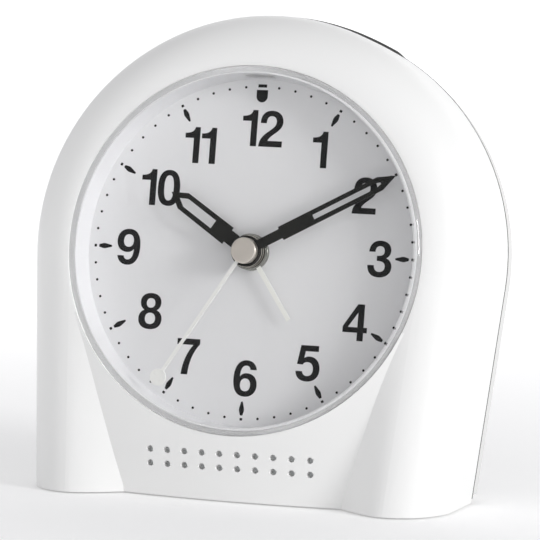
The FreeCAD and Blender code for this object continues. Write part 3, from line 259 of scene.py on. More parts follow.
def lathed(name, outline, steps):
    """A solid of revolution from its closed half section, as (radius, height) in millimetres.

    A third number rounds that corner.
    """
    deselect()
    bpy.ops.mesh.primitive_circle_add(vertices=len(outline), radius=MM)
    piece = named(name)
    for vertex, corner in zip(piece.data.vertices, outline):
        vertex.co = (corner[0] * MM, 0, corner[1] * MM)
    bpy.ops.object.mode_set(mode="EDIT")
    for radius, height, *rounding in outline:
        if rounding:
            at = Vector((radius * MM, 0, height * MM))
            pick(piece, "verts", lambda vertex: (vertex.co - at).length < SAME_POINT)
            bpy.ops.mesh.bevel(offset=rounding[0] * MM, segments=12, affect="VERTICES")
    select_whole()
    bpy.ops.mesh.spin(steps=steps, angle=math.tau, center=(0, 0, 0), axis=(0, 0, 1))
    select_whole()
    bpy.ops.mesh.remove_doubles(threshold=SAME_POINT)
    bpy.ops.mesh.normals_make_consistent(inside=False)
    bpy.ops.object.mode_set(mode="OBJECT")
    smooth(piece)
    return piece


def turned_ring(name, bore, radius, low, high, rounding=0, steps=96):
    """A turned ring or disc between two heights, its outer front edge rounded, in millimetres."""
    corner = (radius, high, rounding) if rounding else (radius, high)
    return lathed(name, [(bore, low), (radius, low), corner, (bore, high)], steps)


def place(piece, matrix):
    """Puts a piece's place into its mesh, so that the object itself stays at the origin."""
    bpy.context.view_layer.update()
    piece.data.transform(matrix @ piece.matrix_world)
    piece.matrix_world = Matrix.Identity(4)


def carry(piece, body, material, replaced=()):
    """Gives a finished piece its material, its body if it rides on one, and the nodes that it stands for."""
    piece.data.materials.clear()
    piece.data.materials.append(material)
    if body:
        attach(piece, body)
    if replaced:
        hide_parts(*replaced)
    return piece


def finish_piece(name, piece):
    if piece is None or not piece.data.vertices:
        raise RuntimeError(name + " came out empty")
    return {"FINISHED"}


# ---------------------------------------------------------------- materials

def add(tree, kind, inputs=None, **settings):
    """One node with its settings; each input is a value or the socket to link to it."""
    made = tree.nodes.new("ShaderNode" + kind)
    for name, value in settings.items():
        setattr(made, name, value)
    for name, value in (inputs or {}).items():
        if isinstance(value, bpy.types.NodeSocket):
            tree.links.new(value, made.inputs[name])
        else:
            made.inputs[name].default_value = value
    return made


def new_material(name, base, roughness, **values):
    """A material with one Principled shader, and its tree and shader to build on."""
    material = bpy.data.materials.new(name)
    material.use_nodes = True
    tree = material.node_tree
    shader = tree.nodes["Principled BSDF"]
    shader.inputs["Base Color"].default_value = (*base, 1)
    shader.inputs["Roughness"].default_value = roughness
    for key, value in values.items():
        shader.inputs[key.replace("_", " ")].default_value = value
    return material, tree, shader


def speckle(tree, size_mm, detail=2.0):
    """Noise on the piece's own coordinates, with features of the given size."""
    place_of = add(tree, "TexCoord").outputs["Object"]
    noise = add(tree, "TexNoise", {"Vector": place_of, "Scale": 1000 / size_mm, "Detail": detail})
    return noise.outputs["Fac"]


def spread(tree, factor, low, high):
    """Maps the middle of a noise, where nearly all of its values lie, onto a range."""
    return add(tree, "MapRange", {"Value": factor, "From Min": 0.3, "From Max": 0.7, "To Min": low,
                                  "To Max": high}).outputs["Result"]


def shades(tree, factor, dark, light):
    """A colour between two shades."""
    mixer = add(tree, "Mix", {0: factor, 6: (*dark, 1), 7: (*light, 1)}, data_type="RGBA")
    return mixer.outputs[2]


def relief(tree, shader, height, depth_mm):
    bump = add(tree, "Bump", {"Height": height, "Distance": depth_mm * MM, "Strength": 1.0})
    tree.links.new(bump.outputs["Normal"], shader.inputs["Normal"])


def scaled(base, factor):
    return tuple(min(1.0, value * factor) for value in base)


def moulded(name, base, roughness, grain_mm, depth_mm, shine=0.5):
    """Injection-moulded plastic: a fine grain softens the highlight, and the shade varies a little."""
    material, tree, shader = new_material(name, base, roughness, IOR=1.53, Specular_IOR_Level=shine)
    grain = speckle(tree, grain_mm)
    cloud = speckle(tree, 28.0)
    tree.links.new(shades(tree, cloud, scaled(base, 0.975), scaled(base, 1.01)), shader.inputs["Base Color"])
    tree.links.new(spread(tree, grain, roughness - 0.04, roughness + 0.05), shader.inputs["Roughness"])
    relief(tree, shader, grain, depth_mm)
    return material


def case_abs():
    # ABS from a polished tool with a fine satin grain: bright, with wide soft highlights.
    return moulded("white_moulded_abs", colours().case, roughness=0.36, grain_mm=0.5, depth_mm=0.004)


def cover_abs():
    # The cover takes the case's ABS made greyer: painted shade, as its roll toward the back turns from the light.
    return moulded("grey_white_cover_abs", colours().cover, roughness=0.4, grain_mm=0.5, depth_mm=0.005)


def knob_abs():
    shade = scaled(colours().case, 0.97)
    return moulded("white_knob_abs", shade, roughness=0.3, grain_mm=0.4, depth_mm=0.004)


def ring_styrene():
    # High-impact polystyrene, smooth and satin, which glows where light falls on its slope.
    return moulded("white_polystyrene_ring", colours().ring, roughness=0.38, grain_mm=0.4, depth_mm=0.001)


def acetal():
    # Natural acetal: waxy off-white gears and shafts.
    return moulded("natural_acetal", linear("#E9E6DA"), roughness=0.38, grain_mm=0.6, depth_mm=0.004)


def inner_styrene():
    return moulded("white_carrier_polystyrene", linear("#E4E3DE"), roughness=0.5, grain_mm=0.5,
                   depth_mm=0.006)


def black_styrene():
    # Movement box of black polystyrene, eroded matt.
    return moulded("black_movement_polystyrene", linear("#191919"), roughness=0.5, grain_mm=0.4,
                   depth_mm=0.01)


def chip_epoxy():
    return moulded("black_chip_epoxy", linear("#141414"), roughness=0.62, grain_mm=0.2, depth_mm=0.006)


def foot_rubber():
    # Soft rubber of the feet: dull, with a powdery bloom. The dark strips in the seam and under the snooze bar
    # wear it too, as painted shade.
    return moulded("soft_foot_rubber", colours().rubber, roughness=0.82, grain_mm=0.3, depth_mm=0.01)


def dial_card():
    # Lacquered paper dial: flat pale cool grey with the faintest tooth of the stock.
    material, tree, shader = new_material("pale_grey_lacquered_dial", colours().dial, 0.5, IOR=1.45)
    tooth = speckle(tree, 0.35)
    cloud = speckle(tree, 22.0)
    base = colours().dial
    tree.links.new(shades(tree, cloud, scaled(base, 0.985), scaled(base, 1.01)), shader.inputs["Base Color"])
    relief(tree, shader, tooth, 0.002)
    return material


def print_ink():
    # Screen-printed ink: nearly black, drying to a soft uneven sheen.
    return moulded("black_screen_print_ink", colours().print, roughness=0.6, grain_mm=0.25,
                   depth_mm=0.003, shine=0.2)


def enamel(name, base, roughness=0.31, shine=0.5):
    """Stoved enamel on stamped sheet: smooth, slightly thick at the edges, with faint orange peel."""
    material, tree, shader = new_material(name, base, roughness, IOR=1.5, Specular_IOR_Level=shine)
    peel = speckle(tree, 0.9)
    tree.links.new(spread(tree, peel, roughness - 0.05, roughness + 0.05), shader.inputs["Roughness"])
    relief(tree, shader, peel, 0.004)
    return material


def black_enamel():
    return enamel("black_hand_enamel", colours().black, roughness=0.45, shine=0.25)


def white_enamel():
    return enamel("white_hand_enamel", colours().white)


def cream_enamel():
    return enamel("cream_hand_enamel", colours().cream)


def metal(name, base, roughness, line_mm):
    """Plated or drawn metal with a drawn grain along one way."""
    material, tree, shader = new_material(name, base, roughness, Metallic=1.0)
    place_of = add(tree, "TexCoord").outputs["Object"]
    drawn = add(tree, "Mapping", {"Vector": place_of, "Scale": (0.06, 1.0, 1.0)}).outputs["Vector"]
    grain = add(tree, "TexNoise", {"Vector": drawn, "Scale": 1000 / line_mm, "Detail": 3.0}).outputs["Fac"]
    tree.links.new(spread(tree, grain, roughness - 0.08, roughness + 0.1), shader.inputs["Roughness"])
    relief(tree, shader, grain, 0.004)
    return material


def turned_metal(name, base, roughness, ring_mm):
    """Metal faced on a lathe round the hands' axis: its fine lines are rings and the highlight fans out."""
    material, tree, shader = new_material(name, base, roughness, Metallic=1.0)
    place_of = add(tree, "TexCoord").outputs["Object"]
    centre = tuple(DIAL_CENTRE)
    from_axis = add(tree, "VectorMath", {0: place_of, 1: centre}, operation="SUBTRACT").outputs["Vector"]
    along = add(tree, "VectorMath", {0: from_axis, 1: tuple(OUT)}, operation="DOT_PRODUCT").outputs["Value"]
    lift = add(tree, "VectorMath", {0: tuple(OUT), "Scale": along}, operation="SCALE").outputs["Vector"]
    flat = add(tree, "VectorMath", {0: from_axis, 1: lift}, operation="SUBTRACT").outputs["Vector"]
    radius = add(tree, "VectorMath", {0: flat}, operation="LENGTH").outputs["Value"]
    noise = add(tree, "TexNoise", {"W": radius, "Scale": 1000 / ring_mm, "Detail": 2.0},
                noise_dimensions="1D")
    rings = noise.outputs["Fac"]
    tree.links.new(spread(tree, rings, roughness - 0.06, roughness + 0.1), shader.inputs["Roughness"])
    relief(tree, shader, rings, 0.006)
    return material


def cap_nickel():
    # Satin nickel, lathe faced: warm grey with a soft ringed highlight.
    return turned_metal("satin_nickel_cap", colours().nickel, roughness=0.34, ring_mm=0.16)


def collar_chrome():
    # Nickel plating on the dial's collar, its base dimmed to a mid grey: painted reflection of dark surroundings.
    return turned_metal("bright_nickel_collar", linear("#989892"), roughness=0.2, ring_mm=0.3)


def screw_zinc():
    return metal("zinc_plated_steel", linear("#A9ABAC"), roughness=0.36, line_mm=0.3)


def arbor_brass():
    return metal("turned_brass", linear("#C9A65A"), roughness=0.3, line_mm=0.3)


def stator_steel():
    return metal("rolled_steel_sheet", linear("#9C9C9B"), roughness=0.4, line_mm=0.4)


def contact_nickel():
    return metal("nickel_plated_spring_strip", linear("#C2C0B8"), roughness=0.28, line_mm=0.3)


def spring_steel():
    return metal("drawn_spring_wire", linear("#A5A6A8"), roughness=0.32, line_mm=0.15)


def speaker_steel():
    return enamel("black_pressed_steel", linear("#242424"))


def coil_copper():
    # Enamelled copper wire wound on the bobbin: bright orange brown, in fine turns 0.3 mm apart.
    material, tree, shader = new_material("enamelled_copper_winding", linear("#B5622F"), 0.34, Metallic=1.0)
    place_of = add(tree, "TexCoord").outputs["Object"]
    turns = add(tree, "TexWave", {"Vector": place_of, "Scale": 1000 / (0.3 * WAVE_PERIODS)},
                wave_type="BANDS", bands_direction="Z").outputs["Fac"]
    relief(tree, shader, turns, 0.05)
    return material


def board_laminate():
    # Green solder mask over glass cloth: the weave shows as a faint square relief.
    material, tree, shader = new_material("green_circuit_laminate", linear("#1F5A33"), 0.34)
    weave = speckle(tree, 0.7)
    tree.links.new(shades(tree, weave, linear("#1A4F2C"), linear("#24653B")), shader.inputs["Base Color"])
    relief(tree, shader, weave, 0.01)
    return material


def cone_paper():
    # Pressed paper pulp: dark, fibrous and dull.
    return moulded("pressed_paper_cone", linear("#3B3835"), roughness=0.85, grain_mm=0.5, depth_mm=0.03)


def acoustic_cloth():
    # Thin woven polyester cloth behind the speaker holes: pale grey and dull, threads 0.25 mm apart.
    material, tree, shader = new_material("woven_acoustic_cloth", linear("#F2F4F5"), 0.9, Sheen_Weight=0.2)
    threads = speckle(tree, 0.25)
    tree.links.new(shades(tree, threads, linear("#DCE0E2"), linear("#FBFCFC")), shader.inputs["Base Color"])
    relief(tree, shader, threads, 0.03)
    return material


def cell_wrap():
    # Plain shrink wrap on the battery cell, glossy with a few soft wrinkles.
    return moulded("plain_cell_wrap", linear("#4B5258"), roughness=0.22, grain_mm=4.0, depth_mm=0.02)


def lamp_window():
    # Frosted polystyrene window in front of the lamp.
    material, tree, shader = new_material("frosted_lamp_window", linear("#E2E1E2"), 0.35,
                                          Transmission_Weight=0.35)
    frost = speckle(tree, 0.25)
    tree.links.new(spread(tree, frost, 0.28, 0.5), shader.inputs["Roughness"])
    return material


def lens_acrylic(name, mirror, roughness=0.0, clearness=1.0):
    """Moulded acrylic with a very slow waviness. Lamps shine straight through it."""
    material, tree, shader = new_material(name, (1.0, 1.0, 1.0), roughness, IOR=1.49,
                                          Transmission_Weight=clearness)
    shader.inputs["Specular Tint"].default_value = (mirror, mirror, mirror, 1)
    wave = speckle(tree, 16.0, 1.0)
    relief(tree, shader, wave, 0.001)
    clear = add(tree, "BsdfTransparent")
    for_lamps = add(tree, "LightPath").outputs["Is Shadow Ray"]
    both = add(tree, "MixShader", {0: for_lamps, 1: shader.outputs["BSDF"], 2: clear.outputs["BSDF"]})
    tree.links.new(both.outputs["Shader"], tree.nodes["Material Output"].inputs["Surface"])
    return material


def lens_pane():
    # The flat pane is coated against glare, so the print behind it stays black.
    return lens_acrylic("coated_clear_acrylic", mirror=0.15)


def lens_rim():
    # The rounded rim is only 74 % clear and the rest white diffuse, so it reads pale all round: painted light for
    # the light that the acrylic carries round its rim.
    return lens_acrylic("hazy_moulded_acrylic", mirror=1.0, roughness=0.08, clearness=0.74)


def lit_table(near, far):
    # Matt opal acrylic sheet, lit from below: it glows more brightly away from the clock.
    material, tree, shader = new_material("matt_opal_table", linear("#FAFAFA"), 0.9)
    shader.inputs["Emission Color"].default_value = (1, 1, 1, 1)
    place_of = add(tree, "TexCoord").outputs["Object"]
    away = add(tree, "VectorMath", {0: place_of}, operation="LENGTH").outputs["Value"]
    glow = add(tree, "MapRange", {"Value": away, "From Min": 0.08, "From Max": 0.5,
                                  "To Min": near, "To Max": far})
    tree.links.new(glow.outputs["Result"], shader.inputs["Emission Strength"])
    tooth = speckle(tree, 1.5)
    relief(tree, shader, tooth, 0.01)
    return material


COVER_NODES = ("rear_cover", "battery_door")
FINISHES = {
    "case_white": case_abs,
    "cover_white": cover_abs,
    "lens_clear": lens_pane,
    "lens_rim": lens_rim,
    "ring_white": ring_styrene,
    "lamp_lens": lamp_window,
    "dial_grey": dial_card,
    "print_ink": print_ink,
    "collar_chrome": collar_chrome,
    "carrier_white": inner_styrene,
    "screw_steel": screw_zinc,
    "hand_black": black_enamel,
    "hand_white": white_enamel,
    "hand_cream": cream_enamel,
    "cap_nickel": cap_nickel,
    "wheel_white": acetal,
    "arbor_brass": arbor_brass,
    "knob_white": knob_abs,
    "movement_black": black_styrene,
    "stator_steel": stator_steel,
    "coil_copper": coil_copper,
    "board_green": board_laminate,
    "chip_black": chip_epoxy,
    "speaker_black": speaker_steel,
    "cone_paper": cone_paper,
    "cloth_grey": acoustic_cloth,
    "cell_wrap": cell_wrap,
    "contact_nickel": contact_nickel,
    "spring_steel": spring_steel,
    "foot_rubber": foot_rubber,
}
MADE = {}


def finish(slot):
    """The material of a slot, made once."""
    if slot not in MADE:
        MADE[slot] = FINISHES[slot]()
    return MADE[slot]


# ---------------------------------------------------------------- operators

class CLOCK_OT_finishes(bpy.types.Operator):
    """Gives every solid of the clock the finish of its slot"""
    bl_idname = "clock.finishes"
    bl_label = "Finish the solids"

    def execute(self, context):
        for entry in frame["record"]["subparts"]:
            node = frame["nodes"][entry["node"]]
            slot = "cover_white" if entry["node"] in COVER_NODES else entry["material_slot"]
            for holder in node.material_slots:
                holder.material = finish(slot)
        return {"FINISHED"}


# Outlines of the numerals on a grid FIGURE_HEIGHT high: closed paths of lines (L) and curves (C).
FIGURES = {
    "1": (430, ["M 250 0 L 430 0 L 430 1000 L 285 1000 C 265 890 180 830 0 830 L 0 695 L 250 695"]),
    "2": (690, ["M 40 650 C 40 880 160 1000 365 1000 C 560 1000 690 880 690 700 C 690 570 620 485 490 390 "
                "C 385 313 300 245 270 165 L 690 165 L 690 0 L 15 0 C 20 185 110 300 290 430 "
                "C 425 527 500 590 500 695 C 500 790 445 850 360 850 C 265 850 215 785 215 650"]),
    "3": (680, ["M 25 690 C 35 885 150 1000 335 1000 C 520 1000 645 900 645 745 C 645 640 595 565 515 530 "
                "C 615 495 680 410 680 295 C 680 115 540 0 330 0 C 125 0 0 120 0 325 L 182 325 "
                "C 187 215 240 150 335 150 C 430 150 492 205 492 295 C 492 395 425 445 300 445 L 255 445 "
                "L 255 585 L 295 585 C 405 585 462 625 462 715 C 462 800 415 850 335 850 "
                "C 250 850 205 795 202 690"]),
    "4": (690, ["M 395 1000 L 590 1000 L 590 370 L 690 370 L 690 225 L 590 225 L 590 0 L 415 0 L 415 225 "
                "L 0 225 L 0 385",
                "M 415 370 L 415 770 L 145 370"]),
    "5": (680, ["M 625 985 L 625 825 L 255 825 L 225 635 C 265 668 315 685 375 685 C 555 685 680 550 680 345 "
                "C 680 130 535 0 325 0 C 130 0 10 100 0 275 L 185 275 C 200 195 250 150 325 150 "
                "C 430 150 492 220 492 335 C 492 455 430 530 330 530 C 265 530 220 505 190 455 "
                "L 28 465 L 118 985"]),
    "6": (680, ["M 655 745 C 630 905 515 1000 355 1000 C 120 1000 0 800 0 475 C 0 160 120 0 345 0 "
                "C 550 0 680 135 680 330 C 680 525 560 645 375 645 C 290 645 225 610 182 545 "
                "C 185 745 245 852 355 852 C 418 852 460 815 472 745",
                "M 345 500 C 435 500 492 435 492 325 C 492 215 435 150 345 150 C 255 150 200 215 200 325 "
                "C 200 435 255 500 345 500"]),
    "7": (660, ["M 0 985 L 660 985 L 660 840 C 500 670 375 390 350 0 L 158 0 C 185 320 290 600 470 820 "
                "L 0 820"]),
    "8": (680, ["M 340 1000 C 530 1000 640 900 640 750 C 640 645 595 568 520 532 C 625 487 680 405 680 285 "
                "C 680 105 550 0 340 0 C 130 0 0 105 0 285 C 0 405 55 487 160 532 C 85 568 40 645 40 750 "
                "C 40 900 150 1000 340 1000",
                "M 340 858 C 418 858 465 810 465 727 C 465 645 418 595 340 595 C 262 595 215 645 215 727 "
                "C 215 810 262 858 340 858",
                "M 340 455 C 435 455 490 392 490 297 C 490 200 435 142 340 142 C 245 142 190 200 190 297 "
                "C 190 392 245 455 340 455"]),
    "0": (650, ["M 325 1000 C 545 1000 650 825 650 500 C 650 175 545 0 325 0 C 105 0 0 175 0 500 "
                "C 0 825 105 1000 325 1000",
                "M 325 850 C 232 850 185 750 185 500 C 185 250 232 150 325 150 C 418 150 465 250 465 500 "
                "C 465 750 418 850 325 850"]),
}
FIGURE_HEIGHT, FIGURE_GAP = 1000, 50
TURNED_CORNER = Vector((680, FIGURE_HEIGHT, 0))      # opposite corner of the 6, about which it turns into a 9

# Each numeral with the place of its middle on the dial, in millimetres.
NUMERALS = (
    ("1", 14.93, 25.18), ("2", 26.75, 14.87), ("3", 31.64, 0.20), ("4", 26.79, -15.01),
    ("5", 15.97, -25.30), ("6", 0.75, -29.90), ("7", -14.05, -25.58), ("8", -24.34, -15.42),
    ("9", -31.14, -0.36), ("10", -24.14, 14.29), ("11", -14.95, 24.88), ("12", 0.33, 29.59),
)
PRINT_TURN = 0.62          # the print sits this much anticlockwise on the dial, degrees
DOT_SIDES = 12


def draw(curve, path, shift, turned):
    """One closed outline as a Bezier spline; a turned figure is the same one upside down."""
    words = path.split()
    points = []
    i = 0
    while i < len(words):
        count = {"M": 1, "L": 1, "C": 3}[words[i]]
        numbers = [float(word) for word in words[i + 1:i + 1 + 2 * count]]
        pairs = [Vector((numbers[k], numbers[k + 1], 0)) for k in range(0, 2 * count, 2)]
        if words[i] == "C":
            points[-1][2] = pairs[0]
            points.append([pairs[1], pairs[2], pairs[2]])
        else:
            points.append([pairs[0]] * 3)
        i += 1 + 2 * count
    if (points[0][1] - points[-1][1]).length < 1:
        points[0][0] = points.pop()[0]
    spline = curve.splines.new("BEZIER")
    spline.bezier_points.add(len(points) - 1)
    beside = Vector((shift, 0, 0))
    for target, trio in zip(spline.bezier_points, points):
        target.handle_left_type = target.handle_right_type = "FREE"
        moved = [(TURNED_CORNER - point if turned else point) + beside for point in trio]
        target.handle_left, target.co, target.handle_right = moved
    spline.use_cyclic_u = True


def figure_width(text):
    widths = [FIGURES["6" if sign == "9" else sign][0] for sign in text]
    return sum(widths) + FIGURE_GAP * (len(text) - 1)


def numeral(text):
    """The outline of one numeral, filled and given the thickness of ink."""
    curve = bpy.data.curves.new("numeral_" + text, "CURVE")
    curve.dimensions = "2D"
    curve.fill_mode = "BOTH"
    curve.resolution_u = 10
    shift = -figure_width(text) / 2
    for sign in text:
        width, paths = FIGURES["6" if sign == "9" else sign]
        for path in paths:
            draw(curve, path, shift, sign == "9")
        shift += width + FIGURE_GAP
    scale = sizes().numeral_height / FIGURE_HEIGHT
    curve.extrude = sizes().ink / 2 / scale
    activate(new_object("numeral_" + text, curve))
    bpy.ops.object.convert(target="MESH")
    piece = named("numeral_" + text)
    piece.data.transform(Matrix.Translation((0, 0, sizes().ink / 2)) @ Matrix.Scale(scale, 4)
                         @ Matrix.Translation((0, -FIGURE_HEIGHT / 2, 0)))
    return piece


class CLOCK_OT_numerals(bpy.types.Operator):
    """Prints the twelve numerals on the dial"""
    bl_idname = "clock.numerals"
    bl_label = "Print the numerals"

    def execute(self, context):
        pieces = []
        for text, x, y in NUMERALS:
            piece = numeral(text)
            place(piece, DIAL_PLACE @ Matrix.Translation((x * MM, y * MM, 0)))
            pieces.append(piece)
        piece = joined("dial_numerals", pieces)
        carry(piece, "case", finish("print_ink"))
        return finish_piece("dial_numerals", piece)


def at_minute(minute):
    """A turn from twelve o'clock to a minute of the print."""
    return Matrix.Rotation(math.radians(PRINT_TURN - 6 * minute), 4, "Z")


def printed(name, corners, bevel_mm=0.0, thick_mm=0.0):
    """A patch of ink: a plane cut to its outline and thickened, with its corners softened."""
    deselect()
    bpy.ops.mesh.primitive_circle_add(vertices=len(corners), radius=MM, fill_type="NGON")
    piece = named(name)
    for vertex, (x, y) in zip(piece.data.vertices, corners):
        vertex.co = (x * MM, y * MM, 0)
    bpy.ops.object.mode_set(mode="EDIT")
    face_outwards()
    if bevel_mm:
        bpy.ops.mesh.bevel(offset=bevel_mm * MM, segments=4, affect="VERTICES")
    select_whole()
    extrude((0, 0, thick_mm * MM or sizes().ink))
    face_outwards()
    bpy.ops.object.mode_set(mode="OBJECT")
    return piece


def block(half_width, inner, outer):
    """Corners of a small printed rectangle between two radii."""
    return [(-half_width, inner), (half_width, inner), (half_width, outer), (-half_width, outer)]


def copies(pattern, places):
    """Copies of one patch of print at each of its places on the dial, each with its own mesh."""
    made = []
    for place_of in places:
        piece = pattern.copy()
        piece.data = pattern.data.copy()
        bpy.context.collection.objects.link(piece)
        place(piece, DIAL_PLACE @ place_of)
        made.append(piece)
    bpy.data.objects.remove(pattern)
    return made


class CLOCK_OT_minute_dots(bpy.types.Operator):
    """Prints a dot at each minute between the hours"""
    bl_idname = "clock.minute_dots"
    bl_label = "Print the minute dots"

    def execute(self, context):
        radius = sizes().dot / 2 / MM
        angles = [math.tau * k / DOT_SIDES for k in range(DOT_SIDES)]
        corners = [(radius * math.cos(angle), radius * math.sin(angle)) for angle in angles]
        lift = Matrix.Translation((0, sizes().dot_radius, 0))
        places = [at_minute(minute) @ lift for minute in range(60) if minute % 5]
        piece = joined("minute_dots", copies(printed("dot", corners), places))
        carry(piece, "case", finish("print_ink"))
        return finish_piece("minute_dots", piece)


class CLOCK_OT_hour_marks(bpy.types.Operator):
    """Prints a lozenge and a dot at each hour but twelve, and the shield at twelve"""
    bl_idname = "clock.hour_marks"
    bl_label = "Print the hour marks"

    def execute(self, context):
        inner = sizes().mark_inner / MM
        outer = sizes().mark_outer / MM
        tip, belly, end = 0.2, 0.62, 0.3           # the lozenge's half widths, from its inner end outwards
        waist = inner + 0.58 * (outer - inner)
        low, high = waist - 0.2, waist + 0.25
        lozenge = [(-tip, inner), (tip, inner), (belly, low), (belly, high), (end, outer), (-end, outer),
                   (-belly, high), (-belly, low)]
        hours = [at_minute(5 * hour) for hour in range(1, 12)]
        pieces = copies(printed("lozenge", lozenge, bevel_mm=0.08), hours)
        dash = block(half_width=0.33, inner=39.3, outer=39.9)
        bar = block(half_width=1.08, inner=39.35, outer=40.1)
        pieces += copies(printed("dash", dash, bevel_mm=0.12), hours)
        pieces += copies(printed("bar", bar, bevel_mm=0.06), [at_minute(0)])
        radius, centre, top = 1.4, 37.2, 38.75     # the shield's round end and its straight one
        shield = [(-radius, top), (-radius, centre)]
        shield += [(-radius * math.cos(math.pi * k / 12), centre - radius * math.sin(math.pi * k / 12))
                   for k in range(1, 12)]
        shield += [(radius, centre), (radius, top)]
        pieces += copies(printed("shield", shield), [at_minute(0)])
        piece = joined("hour_marks", pieces)
        carry(piece, "case", finish("print_ink"))
        return finish_piece("hour_marks", piece)


class CLOCK_OT_lens(bpy.types.Operator):
    """Models the clear lens: a shallow cup with a rounded front edge"""
    bl_idname = "clock.lens"
    bl_label = "Model the lens"

    def execute(self, context):
        rounding = sizes().lens_round / MM
        inner = LENS_R - LENS_WALL
        inside = LENS_FRONT - LENS_PANE
        outline = [(0, LENS_FRONT), (LENS_R - rounding - 0.2, LENS_FRONT), (LENS_R, LENS_FRONT, rounding),
                   (LENS_R, LENS_BACK), (inner, LENS_BACK), (inner, inside), (0, inside)]
        piece = lathed("clear_lens", outline, 480)
        place(piece, DIAL_PLACE)
        carry(piece, "case", finish("lens_clear"), ["lens"])
        piece.data.materials.append(finish("lens_rim"))
        for face in piece.data.polygons:
            from_axis = face.center - DIAL_CENTRE
            from_axis -= from_axis.dot(OUT) * OUT
            face.material_index = int(from_axis.length > PALE_RIM_FROM * inner * MM)
        gap = 0.05
        low, high = LENS_BACK - 2 * gap, inside - gap
        flange = turned_ring("reflector_ring_flange", FLANGE_R, inner - gap, low, high, steps=240)
        place(flange, DIAL_PLACE)
        carry(flange, "case", finish("ring_white"))
        finish_piece("reflector_ring_flange", flange)
        return finish_piece("clear_lens", piece)


class CLOCK_OT_hubs(bpy.types.Operator):
    """Turns the collar, and the hubs of the black hands with their bare edges"""
    bl_idname = "clock.hubs"
    bl_label = "Turn the collar and hubs"

    def execute(self, context):
        rings = [turned_ring("dial_collar_ring", *COLLAR), turned_ring("dial_collar_washer", *WASHER)]
        collar = joined("dial_collar_ring", rings)
        place(collar, DIAL_PLACE)
        carry(collar, "case", finish("collar_chrome"), ["dial_collar"])
        hubs = (("hour_hub", "hours", HOUR_LEVEL), ("minute_hub", "minutes", MINUTE_LEVEL))
        for name, body, (low, high) in hubs:
            back, front = (low - behind for behind in HUB_EDGE_BEHIND)
            face = turned_ring(name, HUB_BORE, HUB_R, low - HUB_BEHIND, high + HUB_PROUD, rounding=0.08)
            rim = turned_ring(name + "_rim", HUB_BORE, HUB_R + HUB_EDGE, back, front, rounding=0.04)
            for piece, slot in ((face, "hand_black"), (rim, "cap_nickel")):
                place(piece, DIAL_PLACE)
                carry(piece, body, finish(slot))
                finish_piece(piece.name, piece)
        return finish_piece("dial_collar_ring", collar)


def arc_of(name, radius, steps, test):
    """The part of a circle of edges that passes the test, as an open run."""
    deselect()
    bpy.ops.mesh.primitive_circle_add(vertices=steps, radius=radius * MM)
    piece = named(name)
    bpy.ops.object.mode_set(mode="EDIT")
    pick(piece, "verts", lambda vertex: not test(vertex.co / MM))
    bpy.ops.mesh.delete(type="VERT")
    bpy.ops.object.mode_set(mode="OBJECT")
    return piece


def thickened(piece, millimetres, offset):
    activate(piece)
    bpy.ops.object.modifier_add(type="SOLIDIFY")
    wall = piece.modifiers[-1]
    wall.thickness = millimetres * MM
    wall.offset = offset
    bpy.ops.object.modifier_apply(modifier=wall.name)


def bar_rise(x):
    """How far the snooze bar stands above the case at its front edge, at x across the clock."""
    across = abs(x)
    ridge = BAR_RISE_MIDDLE + (BAR_RISE - BAR_RISE_MIDDLE) * min(1.0, across / BAR_FULL_RISE_AT)
    return min(ridge, BAR_RISE * (BAR_HALF - across) / BAR_FADE)


def bar_edge(name, radius):
    """The plan arc of the snooze bar's front edge, lifted on to the arch in the dial's frame."""
    piece = arc_of(name, radius, 720, lambda at: at.y > BAR_CENTRE_BACK - SEAM_BACK + 0.1)
    place(piece, Matrix.Translation((0, 0, -BAR_CENTRE_BACK * MM)) @ Matrix.Rotation(math.pi / 2, 4, "X"))
    for vertex in piece.data.vertices:
        x = vertex.co.x / MM
        vertex.co.y = (ARCH_RISE + math.sqrt(ARCH_R ** 2 - x * x) + bar_rise(x)) * MM
    return piece


class CLOCK_OT_snooze(bpy.types.Operator):
    """Models the raised top of the snooze bar, and under its front edge a dark strip that is painted shade of the
    gap
    """
    bl_idname = "clock.snooze"
    bl_label = "Model the snooze bar's top"

    def execute(self, context):
        top = bar_edge("snooze_bar_top", BAR_ARC_R)
        rear = (-SEAM_BACK - 0.05) * MM
        bpy.ops.object.mode_set(mode="EDIT")
        select_whole()
        bpy.ops.mesh.extrude_region_move()
        mesh = bmesh.from_edit_mesh(top.data)
        for vertex in mesh.verts:
            if vertex.select:
                vertex.co.z = rear
        bmesh.update_edit_mesh(top.data)
        self.outwards(top)
        bpy.ops.object.mode_set(mode="OBJECT")
        thickened(top, BAR_WALL, -1)
        smooth(top)
        place(top, DIAL_PLACE)
        carry(top, "snooze", finish("case_white"))

        gap = bar_edge("snooze_bar_gap", BAR_ARC_R + GAP_BEHIND)
        bpy.ops.object.mode_set(mode="EDIT")
        select_whole()
        bpy.ops.transform.translate(value=(0, -GAP_TOP * MM, 0))
        extrude((0, -GAP_DEPTH * MM, 0))
        bpy.ops.object.mode_set(mode="OBJECT")
        thickened(gap, GAP_WALL, 0)
        place(gap, DIAL_PLACE)
        # The strip's dark rubber is painted shade of the gap under the bar's edge.
        carry(gap, "snooze", finish("foot_rubber"))
        finish_piece("snooze_bar_top", top)
        return finish_piece("snooze_bar_gap", gap)

    def outwards(self, piece):
        """Turns the open sheet's faces away from the arch's axis."""
        mesh = bmesh.from_edit_mesh(piece.data)
        face_outwards()
        mesh.faces.ensure_lookup_table()
        if mesh.faces[0].normal.y < 0:
            bpy.ops.mesh.flip_normals()


LEG_REACH = 0.08           # runs the bands past the table before they are cut, metres


